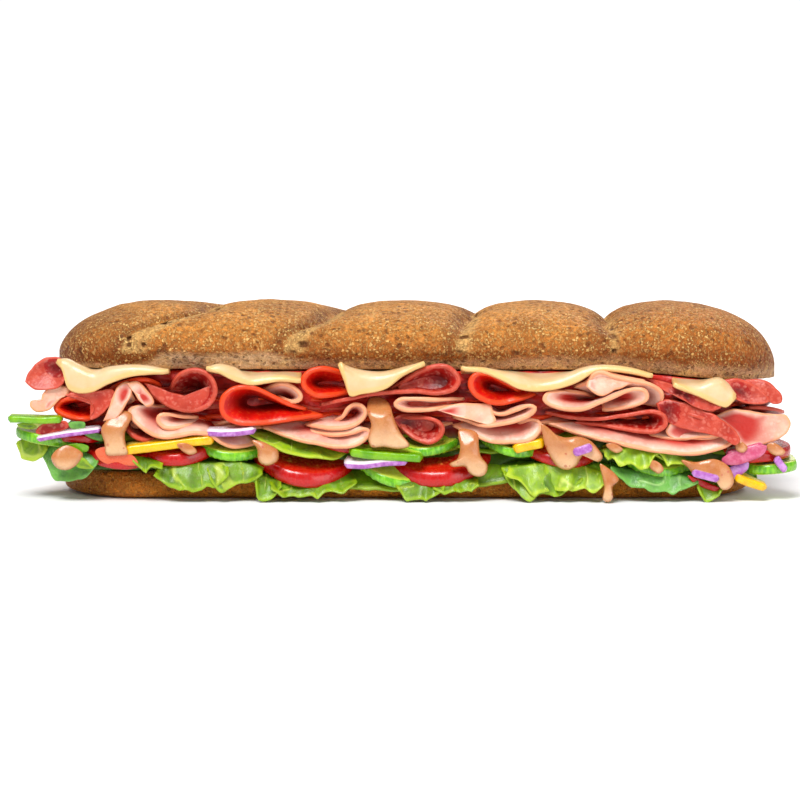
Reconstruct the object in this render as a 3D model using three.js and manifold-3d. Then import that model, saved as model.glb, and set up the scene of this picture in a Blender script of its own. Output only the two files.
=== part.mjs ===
// Submarine sandwich: a split crusty roll filled with folded deli meats, cheese, vegetables and sauce.
// Units are millimetres and +Z is up. The roll lies along X with its front side facing -Y.
import * as THREE from "three";
import Module from "manifold-3d";

const wasm = await Module();
wasm.setup();

// ---------- side drawing ----------
// The fillings are laid out on a side drawing of the sandwich's front rim.
// Columns count to the right and rows count down; one step is GRID millimetres.
const GRID = 0.42;
const MIDDLE_COLUMN = 400;
const TABLE_ROW = 503;

// ---------- overall sizes ----------
const RIM_DEPTH = 16; // how far the fillings hang free outside the roll
const RIM_HALF = 46; // half depth at which the fillings hang free
const FLOOR = 12.4; // height of the lowest filling between the two halves
const TOP_LEVEL = 60.6; // height of the highest filling at the rim
const CHEESE_ROOM = 2.9; // space kept for the cheese under the top half
const BACK_DRIFT = 7; // sideways wander of the fillings toward the back rim
const BACK_LIFT = 1; // up and down wander of the fillings at the back rim
const END_SAG = 9; // drop of the fillings' rear part beyond the left end of the roll
const SAG_START = -134;
const SAG_LENGTH = 14;
const GAP = 0.34; // clearance kept between neighbouring pieces
const SMALLEST_BODY = 0.5; // a piece cut below this share of its size is reported
const WELD = 0.08; // detail smaller than this is smoothed away after cutting
const BED_WELD = 0.18; // the same for the many-leaved salad bed

// ---------- sheet thicknesses ----------
const HAM = 2.2;
const SALAMI = 2.2;
const PEPPERONI = 2.6;
const CHEESE = 2;
const LEAF = 1.3;
const TOMATO = 5;
const TOMATO_RADIUS = 24;
const CUCUMBER = 4.2;
const CUCUMBER_RADIUS = 19;
const DISC_SECTORS = 11;

// ---------- roll ----------
const ROLL_LEFT = -145.8;
const ROLL_RIGHT = 160.3;
const ROLL_TOP = 81.4; // height of the crown
const ROLL_HALF = 39; // half depth of the top half where it bulges
const CUT_HALF = 34.5; // half depth of the top half at its cut face
const BULGE = 63; // height of the bulge
const END_LENGTH = 38; // length over which the top half rounds off at each end
// The crown slopes down over a longer stretch than the roll's plan rounds off.
const CROWN_LEFT = 48;
const CROWN_RIGHT = 55;
const CROWN_POWER = 1.3;
const LOBE_RINGS = 3; // cross sections between two slashes
const SLASH_SIDE = 5; // distance from a slash to the cross section beside it
const SLASH_BEND = 2.2; // how late a slash turns aside on its way down from the crown
const SLASH_NARROW = 5.5; // distance over which the sharp part of a slash fades out
const SLASH_BROAD = 17; // the same for its broad part
const HEEL_LEFT = -143.5;
const HEEL_RIGHT = 149.1;
const HEEL_TOP = 12; // thickness of the bottom half
const HEEL_HALF = 37; // half depth of the bottom half
const HEEL_SOLE = 29; // half depth of its flat underside
const HEEL_END = 34; // length over which the bottom half rounds off at each end

// Slashes baked into the crust: place on the crown, place on the front edge, depth.
const SLASHES = [
  { crown: -81, edge: -121, depth: 5.6 },
  { crown: -28, edge: -48, depth: 8 },
  { crown: 30.6, edge: 22.6, depth: 9 },
  { crown: 87.6, edge: 87.4, depth: 10 },
];

// Share of the full half depth that the fillings keep near the ends, against X.
const ENDS = [[-162, 0.66], [-150, 0.82], [-132, 0.94], [-112, 1], [116, 1], [136, 0.95], [152, 0.84],
  [164, 0.68]];
// Height of the cut face of the top half along the roll.
const ROOF = [[-175, 54.6], [95, 54.4], [126, 51], [160, 48.6], [180, 48.6]];

const clamp = THREE.MathUtils.clamp;
const lerp = THREE.MathUtils.lerp;

function across(column) {
  return (column - MIDDLE_COLUMN) * GRID;
}

function up(row) {
  return (TABLE_ROW - row) * GRID;
}

function along(table, x) {
  const last = table.length - 1;
  if (x <= table[0][0]) return table[0][1];
  if (x >= table[last][0]) return table[last][1];
  const next = table.findIndex((entry) => entry[0] > x);
  const [x0, v0] = table[next - 1];
  const [x1, v1] = table[next];
  return lerp(v0, v1, (x - x0) / (x1 - x0));
}

// Half depth of the zone pressed between the two halves of the roll.
function innerHalf(x) {
  return RIM_HALF * along(ENDS, x) - RIM_DEPTH;
}

// Moves a point of the side drawing to its place: squeezed between the halves, free at the rims.
function settle(x, y, level) {
  const inner = innerHalf(x);
  const outside = clamp((Math.abs(y) - inner) / RIM_DEPTH, 0, 1);
  const back = clamp((y + inner) / (2 * inner + RIM_DEPTH), 0, 1);
  const room = along(ROOF, x) - CHEESE_ROOM - FLOOR;
  const pressed = FLOOR + (level * room) / TOP_LEVEL;
  const lift = y > 0 ? BACK_LIFT * (1 + Math.sin(x / 27)) * outside : 0;
  const drift = BACK_DRIFT * Math.sin(x / 38 + 1) * back;
  const sag = END_SAG * clamp((SAG_START - x) / SAG_LENGTH, 0, 1) * back;
  return new THREE.Vector3(x + drift, y, lerp(pressed, level, outside) + lift - sag);
}

// ---------- building blocks ----------

// Collects faces of one closed body.
class Shell {
  constructor() {
    this.points = [];
    this.faces = [];
  }

  add(point) {
    this.points.push(point);
    return this.points.length - 1;
  }

  triangle(a, b, c) {
    this.faces.push([a, b, c]);
  }

  quad(a, b, c, d) {
    this.triangle(a, b, c);
    this.triangle(a, c, d);
  }

  solid() {
    const vertProperties = new Float32Array(this.points.flatMap((p) => [p.x, p.y, p.z]));
    let triVerts = new Uint32Array(this.faces.flat());
    if (signedVolume(vertProperties, triVerts) < 0) {
      triVerts = new Uint32Array(this.faces.flatMap(([a, b, c]) => [a, c, b]));
    }
    return new wasm.Manifold(new wasm.Mesh({ numProp: 3, vertProperties, triVerts }));
  }
}

function signedVolume(positions, triangles) {
  const corner = (i) => new THREE.Vector3().fromArray(positions, i * 3);
  let total = 0;
  for (let i = 0; i < triangles.length; i += 3) {
    const cross = corner(triangles[i + 1]).cross(corner(triangles[i + 2]));
    total += corner(triangles[i]).dot(cross) / 6;
  }
  return total;
}

// Closes two matching grids of points, rows by columns, into one thin body.
function sheetSolid(upper, lower) {
  const shell = new Shell();
  const top = upper.map((row) => row.map((point) => shell.add(point)));
  const bottom = lower.map((row) => row.map((point) => shell.add(point)));
  const rows = top.length - 1;
  const columns = top[0].length - 1;
  for (let r = 0; r < rows; r += 1) {
    for (let c = 0; c < columns; c += 1) {
      shell.quad(top[r][c], top[r][c + 1], top[r + 1][c + 1], top[r + 1][c]);
      shell.quad(bottom[r + 1][c], bottom[r + 1][c + 1], bottom[r][c + 1], bottom[r][c]);
    }
    shell.quad(top[r + 1][0], bottom[r + 1][0], bottom[r][0], top[r][0]);
    shell.quad(top[r][columns], bottom[r][columns], bottom[r + 1][columns], top[r + 1][columns]);
  }
  for (let c = 0; c < columns; c += 1) {
    shell.quad(top[0][c], bottom[0][c], bottom[0][c + 1], top[0][c + 1]);
    shell.quad(top[rows][c + 1], bottom[rows][c + 1], bottom[rows][c], top[rows][c]);
  }
  return shell.solid();
}

// Joins rings of equal length into a body with flat fan ends.
function loftSolid(rings) {
  const shell = new Shell();
  const loops = rings.map((ring) => ring.map((point) => shell.add(point)));
  const count = loops[0].length;
  for (let r = 0; r + 1 < loops.length; r += 1) {
    for (let i = 0; i < count; i += 1) {
      const j = (i + 1) % count;
      shell.quad(loops[r][i], loops[r][j], loops[r + 1][j], loops[r + 1][i]);
    }
  }
  for (const [ring, loop, flip] of [[rings[0], loops[0], true], [rings.at(-1), loops.at(-1), false]]) {
    const middle = new THREE.Vector3();
    ring.forEach((point) => middle.addScaledVector(point, 1 / ring.length));
    const hub = shell.add(middle);
    for (let i = 0; i < count; i += 1) {
      const j = (i + 1) % count;
      if (flip) shell.triangle(hub, loop[j], loop[i]);
      else shell.triangle(hub, loop[i], loop[j]);
    }
  }
  return shell.solid();
}

function smoothLine(drawn, count) {
  const points = drawn.map(([column, row]) => new THREE.Vector3(across(column), up(row), 0));
  return new THREE.CatmullRomCurve3(points).getSpacedPoints(count);
}

function middleOf(points) {
  const middle = new THREE.Vector3();
  points.forEach((point) => middle.addScaledVector(point, 1 / points.length));
  return middle;
}

// A slice of meat folded along a drawn line. Inside the roll, `closing` draws it together about its
// middle or about the drawing point `toward`.
function foldedSlice({ line, thick, front, back = front, closing = 0, toward }, grow = 0) {
  const length = smoothLine(line, 40).reduce((sum, p, i, all) => sum + (i ? p.distanceTo(all[i - 1]) : 0), 0);
  const steps = clamp(Math.round(length / 6.2), 5, 14);
  const points = smoothLine(line, steps);
  const middle = toward ? new THREE.Vector3(across(toward[0]), up(toward[1]), 0) : middleOf(points);
  const half = thick / 2 + grow;
  const upper = [];
  const lower = [];
  for (const rowIndex of [0, 1, 2, 3]) {
    const open = rowIndex === 0 || rowIndex === 3;
    const row = points.map((point) => middle.clone().lerp(point, open ? 1 : 1 - closing));
    const above = [];
    const below = [];
    row.forEach((point, i) => {
      const before = row[Math.max(i - 1, 0)];
      const after = row[Math.min(i + 1, steps)];
      const way = after.clone().sub(before).normalize();
      const spot = point.clone();
      if (i === 0) spot.addScaledVector(way, -grow);
      if (i === steps) spot.addScaledVector(way, grow);
      const edge = (1 - 0.16 * Math.abs((2 * i) / steps - 1) ** 3) * along(ENDS, point.x);
      const inner = innerHalf(point.x);
      const depth = [-front * edge - grow, -inner, inner, back * edge + grow][rowIndex];
      above.push(settle(spot.x - way.y * half, depth, spot.y + way.x * half));
      below.push(settle(spot.x + way.y * half, depth, spot.y - way.x * half));
    });
    upper.push(above);
    lower.push(below);
  }
  return sheetSolid(upper, lower);
}

// A slice lying under the top half whose front and back hems hang down from `top` to `low`.
function drapedSlice({ top, low, thick, front, back = front, drop = 1.2 }, grow = 0) {
  const steps = 7;
  const crest = smoothLine(top, steps);
  const hem = smoothLine(low, steps);
  const half = thick / 2 + grow;
  const ease = Math.SQRT1_2;
  const rows = [
    { line: hem, y: back, beyond: drop, out: [0, 1, 0], fall: grow },
    { line: crest, y: back, beyond: 0, out: [0, ease, ease], fall: 0 },
    { line: null, y: 1, out: [0, 0.1, 1], fall: 0 },
    { line: null, y: -1, out: [0, -0.1, 1], fall: 0 },
    { line: crest, y: -front, beyond: 0, out: [0, -ease, ease], fall: 0 },
    { line: hem, y: -front, beyond: -drop, out: [0, -1, 0], fall: grow },
  ];
  const place = (row, i, sign) => {
    const source = row.line ?? crest;
    const side = (i === 0 ? -grow : 0) + (i === steps ? grow : 0);
    const x = source[i].x + side;
    const depth = row.line ? row.y * along(ENDS, crest[i].x) + row.beyond : row.y * innerHalf(x);
    const rim = settle(x, depth, source[i].y - row.fall);
    if (!row.line) rim.z = along(ROOF, x) - 0.4 - thick / 2;
    return rim.addScaledVector(new THREE.Vector3(...row.out), sign * half);
  };
  const grid = (sign) => rows.map((row) => crest.map((_, i) => place(row, i, sign)));
  return sheetSolid(grid(1), grid(-1));
}

// A round vegetable slice lying in the stack with its front edge at `row`.
function roundSlice({ column, row, thick, radius, middle, lean = 0 }, grow = 0) {
  const shell = new Shell();
  const level = up(row);
  const half = thick / 2 + grow;
  const rings = [radius + grow, radius * 0.55];
  const spot = (r, angle, sign) => {
    const dx = r * Math.cos(angle);
    const x = across(column) + dx;
    return settle(x, middle + r * Math.sin(angle), level + lean * dx + sign * half);
  };
  const loops = [1, -1].map((sign) => rings.map((r) => Array.from({ length: DISC_SECTORS }, (_, i) =>
    shell.add(spot(r, (i / DISC_SECTORS) * 2 * Math.PI, sign)))));
  const hubs = [1, -1].map((sign) => shell.add(spot(0, 0, sign)));
  for (let i = 0; i < DISC_SECTORS; i += 1) {
    const j = (i + 1) % DISC_SECTORS;
    const [[topOuter, topInner], [lowOuter, lowInner]] = loops;
    shell.triangle(hubs[0], topInner[i], topInner[j]);
    shell.quad(topInner[i], topOuter[i], topOuter[j], topInner[j]);
    shell.quad(topOuter[i], lowOuter[i], lowOuter[j], topOuter[j]);
    shell.quad(lowOuter[i], lowInner[i], lowInner[j], lowOuter[j]);
    shell.triangle(hubs[1], lowInner[j], lowInner[i]);
  }
  return shell.solid();
}

// A bar of pepper or onion along a drawn line; `tall` and `wide` are its section, `middle` its depth.
function strip({ line, tall, wide, middle, turn = 0 }, grow = 0) {
  const steps = 5;
  const points = smoothLine(line, steps);
  const halfTall = tall / 2 + grow;
  const halfWide = wide / 2 + grow;
  const rings = points.map((point, i) => {
    const stretch = (i === 0 ? -grow : 0) + (i === steps ? grow : 0);
    const y = middle + turn * (i / steps - 0.5);
    return [[-1, -1], [1, -1], [1, 1], [-1, 1]].map(([v, h]) =>
      settle(point.x + stretch, y + h * halfWide, point.y + v * halfTall));
  });
  return loftSolid(rings);
}

// A thin leaf flap: it leaves the bed at `bed`, crests at `top` and hangs down to `low`.
function leafFlap({ bed, top, low, side = -1, front = 45 }, grow = 0) {
  const steps = 5;
  const lines = [bed, top, low].map((line) => smoothLine(line, steps));
  const half = LEAF / 2 + grow;
  const depths = [RIM_HALF - RIM_DEPTH - 2, front - 1, front + 2];
  const outs = [[0, 0, 1], [0, side * Math.SQRT1_2, Math.SQRT1_2], [0, side, 0]];
  const place = (line, r, i, sign) => {
    const frill = r === 0 ? 0 : 0.8 * Math.sin(i * 2.1 + r);
    const depth = (depths[r] + frill) * along(ENDS, line[i].x);
    const x = line[i].x + (i === 0 ? -grow : 0) + (i === steps ? grow : 0);
    const point = settle(x, side * (r === 0 ? depth - grow : depth), line[i].y - (r === 2 ? grow : 0));
    return point.addScaledVector(new THREE.Vector3(...outs[r]), sign * half);
  };
  const grid = (sign) => lines.map((line, r) => line.map((_, i) => place(line, r, i, sign)));
  return sheetSolid(grid(1), grid(-1));
}

// A thick run of sauce hanging on the front; rows are [column, row, half width].
function sauceRun({ rows, back, bulge }, grow = 0) {
  const sides = 8;
  const rings = rows.map(([column, row, halfWidth]) => Array.from({ length: sides }, (_, i) => {
    const angle = (i / sides) * 2 * Math.PI;
    const x = across(column) + (halfWidth * GRID + grow) * Math.cos(angle);
    const y = -back - (bulge + grow) * Math.sin(angle);
    return new THREE.Vector3(x, y, up(row));
  }));
  return loftSolid(rings);
}

// ---------- roll ----------

function roundedEnd(x, left, right, length) {
  const inset = Math.min(x - left, right - x);
  if (inset >= length) return 1;
  return Math.sqrt(Math.max(1 - (1 - inset / length) ** 2, 0));
}

function stations(left, right, count, ends) {
  const list = [];
  for (let i = 0; i <= ends; i += 1) list.push(left + 0.6 + 36 * (1 - Math.cos((i / ends) * Math.PI / 2)));
  for (let i = 1; i < count; i += 1) list.push(lerp(left + 36.6, right - 36.6, i / count));
  for (let i = ends; i >= 0; i -= 1) list.push(right - 0.6 - 36 * (1 - Math.cos((i / ends) * Math.PI / 2)));
  return list;
}

// Depth of the slashes at a point of the crust; `side` runs from -1 in front to 1 behind.
function slashDepth(x, side) {
  return SLASHES.reduce((deepest, { crown, edge, depth }) => {
    const far = x - crown - (edge - crown) * slashBend(side);
    const near = Math.sqrt(far ** 2 + 0.4);
    const fade = 0.62 * Math.exp(-near / SLASH_NARROW) + 0.38 * Math.exp(-near / SLASH_BROAD);
    return Math.max(deepest, depth * fade);
  }, 0);
}

function slashBend(side) {
  return -Math.sign(side) * Math.abs(side) ** SLASH_BEND;
}

// Cross sections follow the slashes: each has a place on the crown and a slant toward the front edge.
function crustSections(grow) {
  const slants = [[ROLL_LEFT, 0], ...SLASHES.map(({ crown, edge }) => [crown, edge - crown]), [ROLL_RIGHT, 0]];
  const places = [];
  for (let i = 0; i <= 4; i += 1) {
    const inset = 0.6 + 34 * (1 - Math.cos((i / 4) * Math.PI / 2));
    places.push(ROLL_LEFT - grow + inset, ROLL_RIGHT + grow - inset);
  }
  SLASHES.forEach(({ crown }, i) => {
    places.push(crown - SLASH_SIDE, crown, crown + SLASH_SIDE);
    const next = SLASHES[i + 1];
    if (!next) return;
    const start = crown + SLASH_SIDE;
    const length = next.crown - SLASH_SIDE - start;
    for (let k = 1; k < LOBE_RINGS; k += 1) places.push(start + (length * k) / LOBE_RINGS);
  });
  places.push(lerp(ROLL_LEFT + 34.6, SLASHES[0].crown - SLASH_SIDE, 0.5));
  places.push(lerp(SLASHES.at(-1).crown + SLASH_SIDE, ROLL_RIGHT - 34.6, 0.5));
  return places.sort((a, b) => a - b).map((place) => ({ place, slant: along(slants, place) }));
}

function crownShare(x, grow) {
  const left = (x - ROLL_LEFT + grow) / CROWN_LEFT;
  const right = (ROLL_RIGHT + grow - x) / CROWN_RIGHT;
  const inset = clamp(Math.min(left, right), 0, 1);
  return Math.sqrt(1 - (1 - inset) ** 2) ** CROWN_POWER;
}

function topHalf(grow = 0) {
  const arc = 13;
  const cutHalf = CUT_HALF + grow;
  const endAt = (x) => roundedEnd(x, ROLL_LEFT - grow, ROLL_RIGHT + grow, END_LENGTH);
  const rings = crustSections(grow).map(({ place, slant }) => {
    const shifted = (side) => place + slant * slashBend(side);
    const cutPoint = (side, rise) => {
      const x = shifted(side);
      return new THREE.Vector3(x, side * cutHalf * endAt(x), along(ROOF, x) - grow + rise);
    };
    const ring = [-0.55, 0, 0.55].map((side) => cutPoint(side, 0.25));
    ring.push(cutPoint(1, 0.9));
    for (let i = 0; i <= arc; i += 1) {
      const angle = (i / arc) * Math.PI;
      const side = Math.sign(Math.cos(angle)) * Math.abs(Math.cos(angle)) ** 0.8;
      const x = shifted(side);
      const end = endAt(x);
      const roof = along(ROOF, x) - grow;
      const bulge = lerp(roof + 5, Math.max(BULGE, roof + 8), end);
      const y = (ROLL_HALF + grow) * end * side;
      const height = (ROLL_TOP - bulge) * crownShare(x, grow) * Math.sin(angle) ** 0.85;
      const dent = slashDepth(x, side) * Math.min(1, 0.25 + Math.sin(angle)) * end;
      const squeeze = 1 - (0.35 * dent) / ROLL_HALF;
      ring.push(new THREE.Vector3(x, y * squeeze, bulge + height - dent * Math.sin(angle)));
    }
    ring.push(cutPoint(-1, 0.9));
    return ring;
  });
  return loftSolid(rings);
}

function bottomHalf(grow = 0) {
  const section = [[-1, 0.3], [-0.97, 0.78], [-0.9, 1], [0.9, 1], [0.97, 0.78], [1, 0.3]];
  const rings = stations(HEEL_LEFT - grow, HEEL_RIGHT + grow, 8, 4).map((x) => {
    const end = roundedEnd(x, HEEL_LEFT - grow, HEEL_RIGHT + grow, HEEL_END);
    const lift = 3.4 * (1 - end) ** 1.2 - grow;
    const ring = section.map(([side, share]) =>
      new THREE.Vector3(x, side * (HEEL_HALF + grow) * end, lift + (HEEL_TOP + grow - lift) * share));
    ring.push(new THREE.Vector3(x, HEEL_SOLE * end, lift), new THREE.Vector3(x, -HEEL_SOLE * end, lift));
    return ring;
  });
  return loftSolid(rings);
}

// ---------- lay-out on the side drawing ----------

const CHEESES = [
  { name: "cheese_1", front: 46.4, top: [[57, 361], [66, 358], [79, 365], [94, 372], [110, 367], [140, 364],
    [168, 370]], low: [[60, 372], [65, 386], [76, 392], [92, 391], [108, 383], [140, 374], [165, 376]] },
  { name: "cheese_2", front: 46, top: [[207, 367], [219, 363], [232, 366], [250, 378], [267, 375], [283, 375],
    [300, 380]], low: [[213, 373], [224, 375], [236, 380], [251, 384], [267, 381], [283, 380], [298, 385]] },
  { name: "cheese_3", front: 47, top: [[340, 362], [350, 367], [363, 371], [378, 373], [391, 371], [408, 366],
    [424, 362]], low: [[342, 380], [350, 394], [362, 392], [376, 390], [388, 386], [402, 375], [419, 367]] },
  { name: "cheese_4", front: 44.5, top: [[462, 366], [480, 367], [500, 371], [520, 376], [540, 381], [560, 377],
    [585, 366], [610, 364], [635, 368], [652, 374]], low: [[463, 370], [482, 371.5], [502, 379], [518, 387],
    [535, 390], [555, 388], [576, 381], [604, 369.5], [635, 373], [650, 379]] },
  { name: "cheese_5", front: 46.6, top: [[674, 384], [688, 386], [701, 385], [711, 380], [719, 378], [735, 394]],
    low: [[677, 388], [690, 392], [702, 397], [713, 402], [724, 406.5], [736, 405]] },
];

const MEATS = [
  { name: "pepperoni_2", thick: PEPPERONI, front: 46, closing: 0.42, line: [[352, 369], [335, 366.5],
    [319, 367], [308, 371], [302.5, 379], [305, 388], [317, 396], [333, 394], [350, 390]] },
  { name: "pepperoni_1", thick: PEPPERONI, front: 48, closing: 0.3, line: [[306, 409.5], [290, 404.5],
    [274, 396], [258, 388], [243, 385.5], [230, 389], [221.5, 398], [221, 411], [229, 420.5], [244, 424.5],
    [267, 423], [295, 419], [322, 416.5]] },
  { name: "pepperoni_3", thick: PEPPERONI, front: 46, closing: 0.42, line: [[521, 388], [505, 379],
    [489, 372.5], [476, 372], [469.5, 381], [473, 393], [486, 401.5], [503, 403.5], [520, 399.5], [536, 392]] },
  { name: "pepperoni_roll", thick: PEPPERONI, front: 46.5, closing: 0.4, line: [[103, 397], [90, 396.5],
    [71, 398.5], [58, 403], [54, 409.5], [62, 417.5], [80, 421.5], [95, 418.5], [101, 413]] },
  { name: "pepperoni_flat", thick: PEPPERONI, front: 43, line: [[106, 386.5], [118, 382], [133, 378],
    [148, 376.5], [160, 378.5]] },
  { name: "salami_1", thick: SALAMI, front: 47, closing: 0.42, line: [[169, 386], [174, 377], [184, 370],
    [195, 368], [206, 371.5], [214, 379.5], [217, 388.5], [214.5, 398.5], [207, 406.5], [196, 411],
    [181, 410.5], [167, 405.5], [154, 395.5], [143, 384.5]] },
  { name: "salami_2", thick: SALAMI, front: 47, closing: 0.3, line: [[390, 385.5], [402, 379], [418, 370],
    [437, 363.5], [451, 367], [460, 379], [455, 389], [440, 393], [412, 391.5], [380, 393], [350, 398],
    [320, 404.5]] },
  { name: "salami_far_left", thick: SALAMI, front: 44, closing: 0.3, toward: [54, 352],
    line: [[25, 379], [29, 385.5], [40, 389.5], [54, 387.5], [72, 383]] },
  { name: "salami_roll", thick: SALAMI, front: 45, closing: 0.35, line: [[397, 418.5], [410, 418.5],
    [426, 418], [438, 421.5], [444, 430.5], [440, 440], [430, 445], [418, 442], [405, 434], [398, 426]] },
  { name: "salami_3", thick: SALAMI, front: 45.5, line: [[670, 382], [686, 388], [705, 396.5],
    [716, 404.5], [712, 411], [698, 409], [681, 401.5], [671, 395.5]] },
  { name: "salami_4", thick: SALAMI, front: 46, closing: 0.25, line: [[546, 414], [562, 417.5], [580, 419.5],
    [600, 419.5], [620, 416.5], [640, 412.5], [656, 411.5], [665, 416], [667, 425], [659, 431.5], [643, 432.5],
    [620, 430], [598, 427], [574, 426]] },
  { name: "salami_5", thick: SALAMI, front: 46.5, line: [[676, 409.5], [692, 414.5], [708, 420],
    [722, 425], [733, 429]] },
  { name: "salami_far_right", thick: SALAMI, front: 44.5, closing: 0.2, line: [[730, 386], [747, 382],
    [763, 384], [776, 390], [780, 397], [772, 401], [756, 401], [740, 399]] },
  { name: "salami_edge", thick: SALAMI, front: 45, line: [[741, 407.5], [756, 408.5], [772, 410.5],
    [787, 413]] },
  { name: "ham_far_left", thick: HAM, front: 45, line: [[66, 391.5], [54, 392], [46, 396], [40, 402.5],
    [30, 405.5]] },
  { name: "ham_arch", thick: HAM, front: 46, line: [[107, 421], [112, 410], [115, 397], [119, 389],
    [125, 386.5], [130, 390], [134, 397.5]] },
  { name: "ham_inner", thick: HAM, front: 45, line: [[197, 419.5], [181, 417.5], [168, 414.5], [159, 415.5],
    [157, 422], [163, 428.5], [173, 430], [186, 428], [204, 425.5]] },
  { name: "ham_outer", thick: HAM, front: 47, line: [[150, 405], [134, 406.5], [128, 411.5], [132, 420],
    [142, 428.5], [153, 435.5], [165, 438.5], [180, 436.5], [196, 433.5], [210, 436], [220, 443.5],
    [231, 449], [244, 451], [258, 450]] },
  { name: "ham_roll", thick: HAM, front: 45, line: [[268, 384.5], [280, 382.5], [291, 385.5], [298.5, 392],
    [297.5, 398.5]] },
  { name: "ham_tube", thick: HAM, front: 46, closing: 0.15, line: [[333, 424], [342, 417], [347, 408.5],
    [354, 404], [362, 406], [366, 413], [361, 421], [350, 427], [330, 429.5], [305, 428.5]] },
  { name: "ham_fold_low", thick: HAM, front: 47.5, line: [[262, 431], [285, 437.5], [310, 443.5],
    [335, 447.5], [352, 447], [366, 440], [372, 433.5], [366, 429.5], [352, 434], [330, 437], [305, 436.5]] },
  { name: "ham_flat", thick: HAM, front: 47, line: [[464, 397.5], [440, 399], [412, 398], [399, 399],
    [394.5, 404], [401, 409.5], [420, 410.5], [441, 408], [458, 405]] },
  { name: "ham_ruffle", thick: HAM, front: 48, line: [[453, 418], [466, 422.5], [480, 425.5], [500, 425],
    [520, 419.5], [533, 413], [536, 407.5], [529, 405.5], [516, 409.5], [504, 414.5], [495, 414], [488, 409.5],
    [477, 409]] },
  { name: "ham_round", thick: HAM, front: 46, line: [[453, 428.5], [473, 437.5], [492, 443.5], [512, 444],
    [530, 440.5], [541, 432], [541, 423.5], [533, 421], [520, 427]] },
  { name: "ham_big", thick: HAM, front: 48, closing: 0.1, line: [[583, 390], [560, 389.5], [546, 392.5],
    [543.5, 400], [557, 407.5], [580, 409], [600, 402.5], [618, 394], [636, 387.5], [646, 390], [648, 398],
    [640, 404.5], [622, 409], [604, 411.5]] },
  { name: "ham_crest", thick: HAM, front: 47, line: [[575, 382.5], [587, 380], [593, 373], [600, 371],
    [613, 374.5], [632, 379.5], [650, 382.5], [662, 389.5], [663, 399], [657, 404.5]] },
  { name: "ham_large", thick: HAM, front: 48, line: [[549, 426.5], [575, 434.5], [605, 441], [640, 448.5],
    [675, 454], [705, 453.5], [727, 447], [736, 440], [728, 435.5], [705, 438], [680, 441], [652, 440]] },
  { name: "ham_far_right", thick: HAM, front: 46, line: [[744, 416.5], [764, 418], [782, 421],
    [787, 427.5], [781, 436], [766, 442], [750, 442.5]] },
];

const TOMATOES = [
  { name: "tomato_1", column: 118, row: 464.5, front: 46.5, radius: 15, lean: -0.12 },
  { name: "tomato_2", column: 178, row: 462, front: 46, radius: 18, lean: 0.05 },
  { name: "tomato_3", column: 303, row: 480, front: 47, lean: -0.12 },
  { name: "tomato_4", column: 440, row: 481, front: 47, lean: 0.06 },
  { name: "tomato_5", column: 562, row: 464, front: 46, radius: 18, lean: -0.1 },
  { name: "tomato_6", column: 758, row: 459, front: 43, radius: 15, lean: 0.08 },
];

const CUCUMBERS = [
  { name: "cucumber_1", column: 44, row: 441, front: 44.5, radius: 13, lean: -0.16 },
  { name: "cucumber_2", column: 229, row: 459, front: 45, radius: 15, lean: -0.1 },
  { name: "cucumber_3", column: 428, row: 455, front: 44, radius: 14, lean: 0.1 },
  { name: "cucumber_4", column: 392, row: 485, front: 45.5, lean: -0.3 },
  { name: "cucumber_5", column: 513, row: 455, front: 44.5, radius: 14, lean: -0.2 },
  { name: "cucumber_6", column: 655, row: 475, front: 45, lean: -0.18 },
  { name: "cucumber_7", column: 771, row: 471, front: 43, radius: 12, lean: 0.05 },
];

const STRIPS = [
  { name: "green_pepper_1", kind: "green_pepper", line: [[7, 419.5], [25, 420], [44, 420.5], [62, 420]],
    tall: 3.2, wide: 11, middle: -41 },
  { name: "green_pepper_2", kind: "green_pepper", line: [[349, 452.5], [370, 455.5], [395, 457.5], [423, 459]],
    tall: 3.8, wide: 9, middle: -43.5 },
  { name: "yellow_pepper_1", kind: "yellow_pepper", line: [[124, 451.5], [145, 449], [170, 445.5], [196, 442],
    [214, 440.5]], tall: 4, wide: 8, middle: -43.5 },
  { name: "yellow_pepper_2", kind: "yellow_pepper", line: [[513, 451], [525, 447.5], [545, 443.5]],
    tall: 4.2, wide: 8, middle: -43 },
  { name: "yellow_pepper_3", kind: "yellow_pepper", line: [[735, 478], [750, 484], [768, 489.5]],
    tall: 3.4, wide: 22, middle: -34.5 },
  { name: "onion_1", kind: "onion", line: [[36, 439.5], [58, 435.5], [80, 432.5], [101, 429.5]],
    tall: 2.6, wide: 9, middle: -43 },
  { name: "onion_2", kind: "onion", line: [[206, 432.5], [222, 433], [238, 432.5], [256, 430]],
    tall: 3.4, wide: 8, middle: -44 },
  { name: "onion_3", kind: "onion", line: [[344, 465.5], [362, 466], [385, 463.5], [408, 462]],
    tall: 3.4, wide: 7, middle: -44 },
  { name: "onion_4", kind: "onion", line: [[727, 457], [740, 453.5], [754, 450], [765, 447]],
    tall: 4, wide: 7, middle: -42 },
];

const LETTUCE_STRIPS = [
  { name: "lettuce_1", thick: LEAF, front: 46, line: [[244, 437], [258, 441], [272, 446], [288, 452],
    [305, 456.5], [322, 461], [344, 463]] },
  { name: "lettuce_2", thick: LEAF, front: 46, line: [[604, 449], [618, 456], [630, 464], [644, 457],
    [656, 452], [668, 461], [686, 470]] },
];

const BED = { thick: 2, front: 44, line: [[92, 482], [115, 480], [140, 478], [160, 482], [185, 483], [212, 485],
  [240, 488], [265, 495], [300, 497], [345, 498], [390, 499], [430, 499], [470, 497], [500, 492], [530, 484],
  [565, 482], [600, 487], [632, 488], [665, 489], [700, 491], [728, 494]] };

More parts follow.
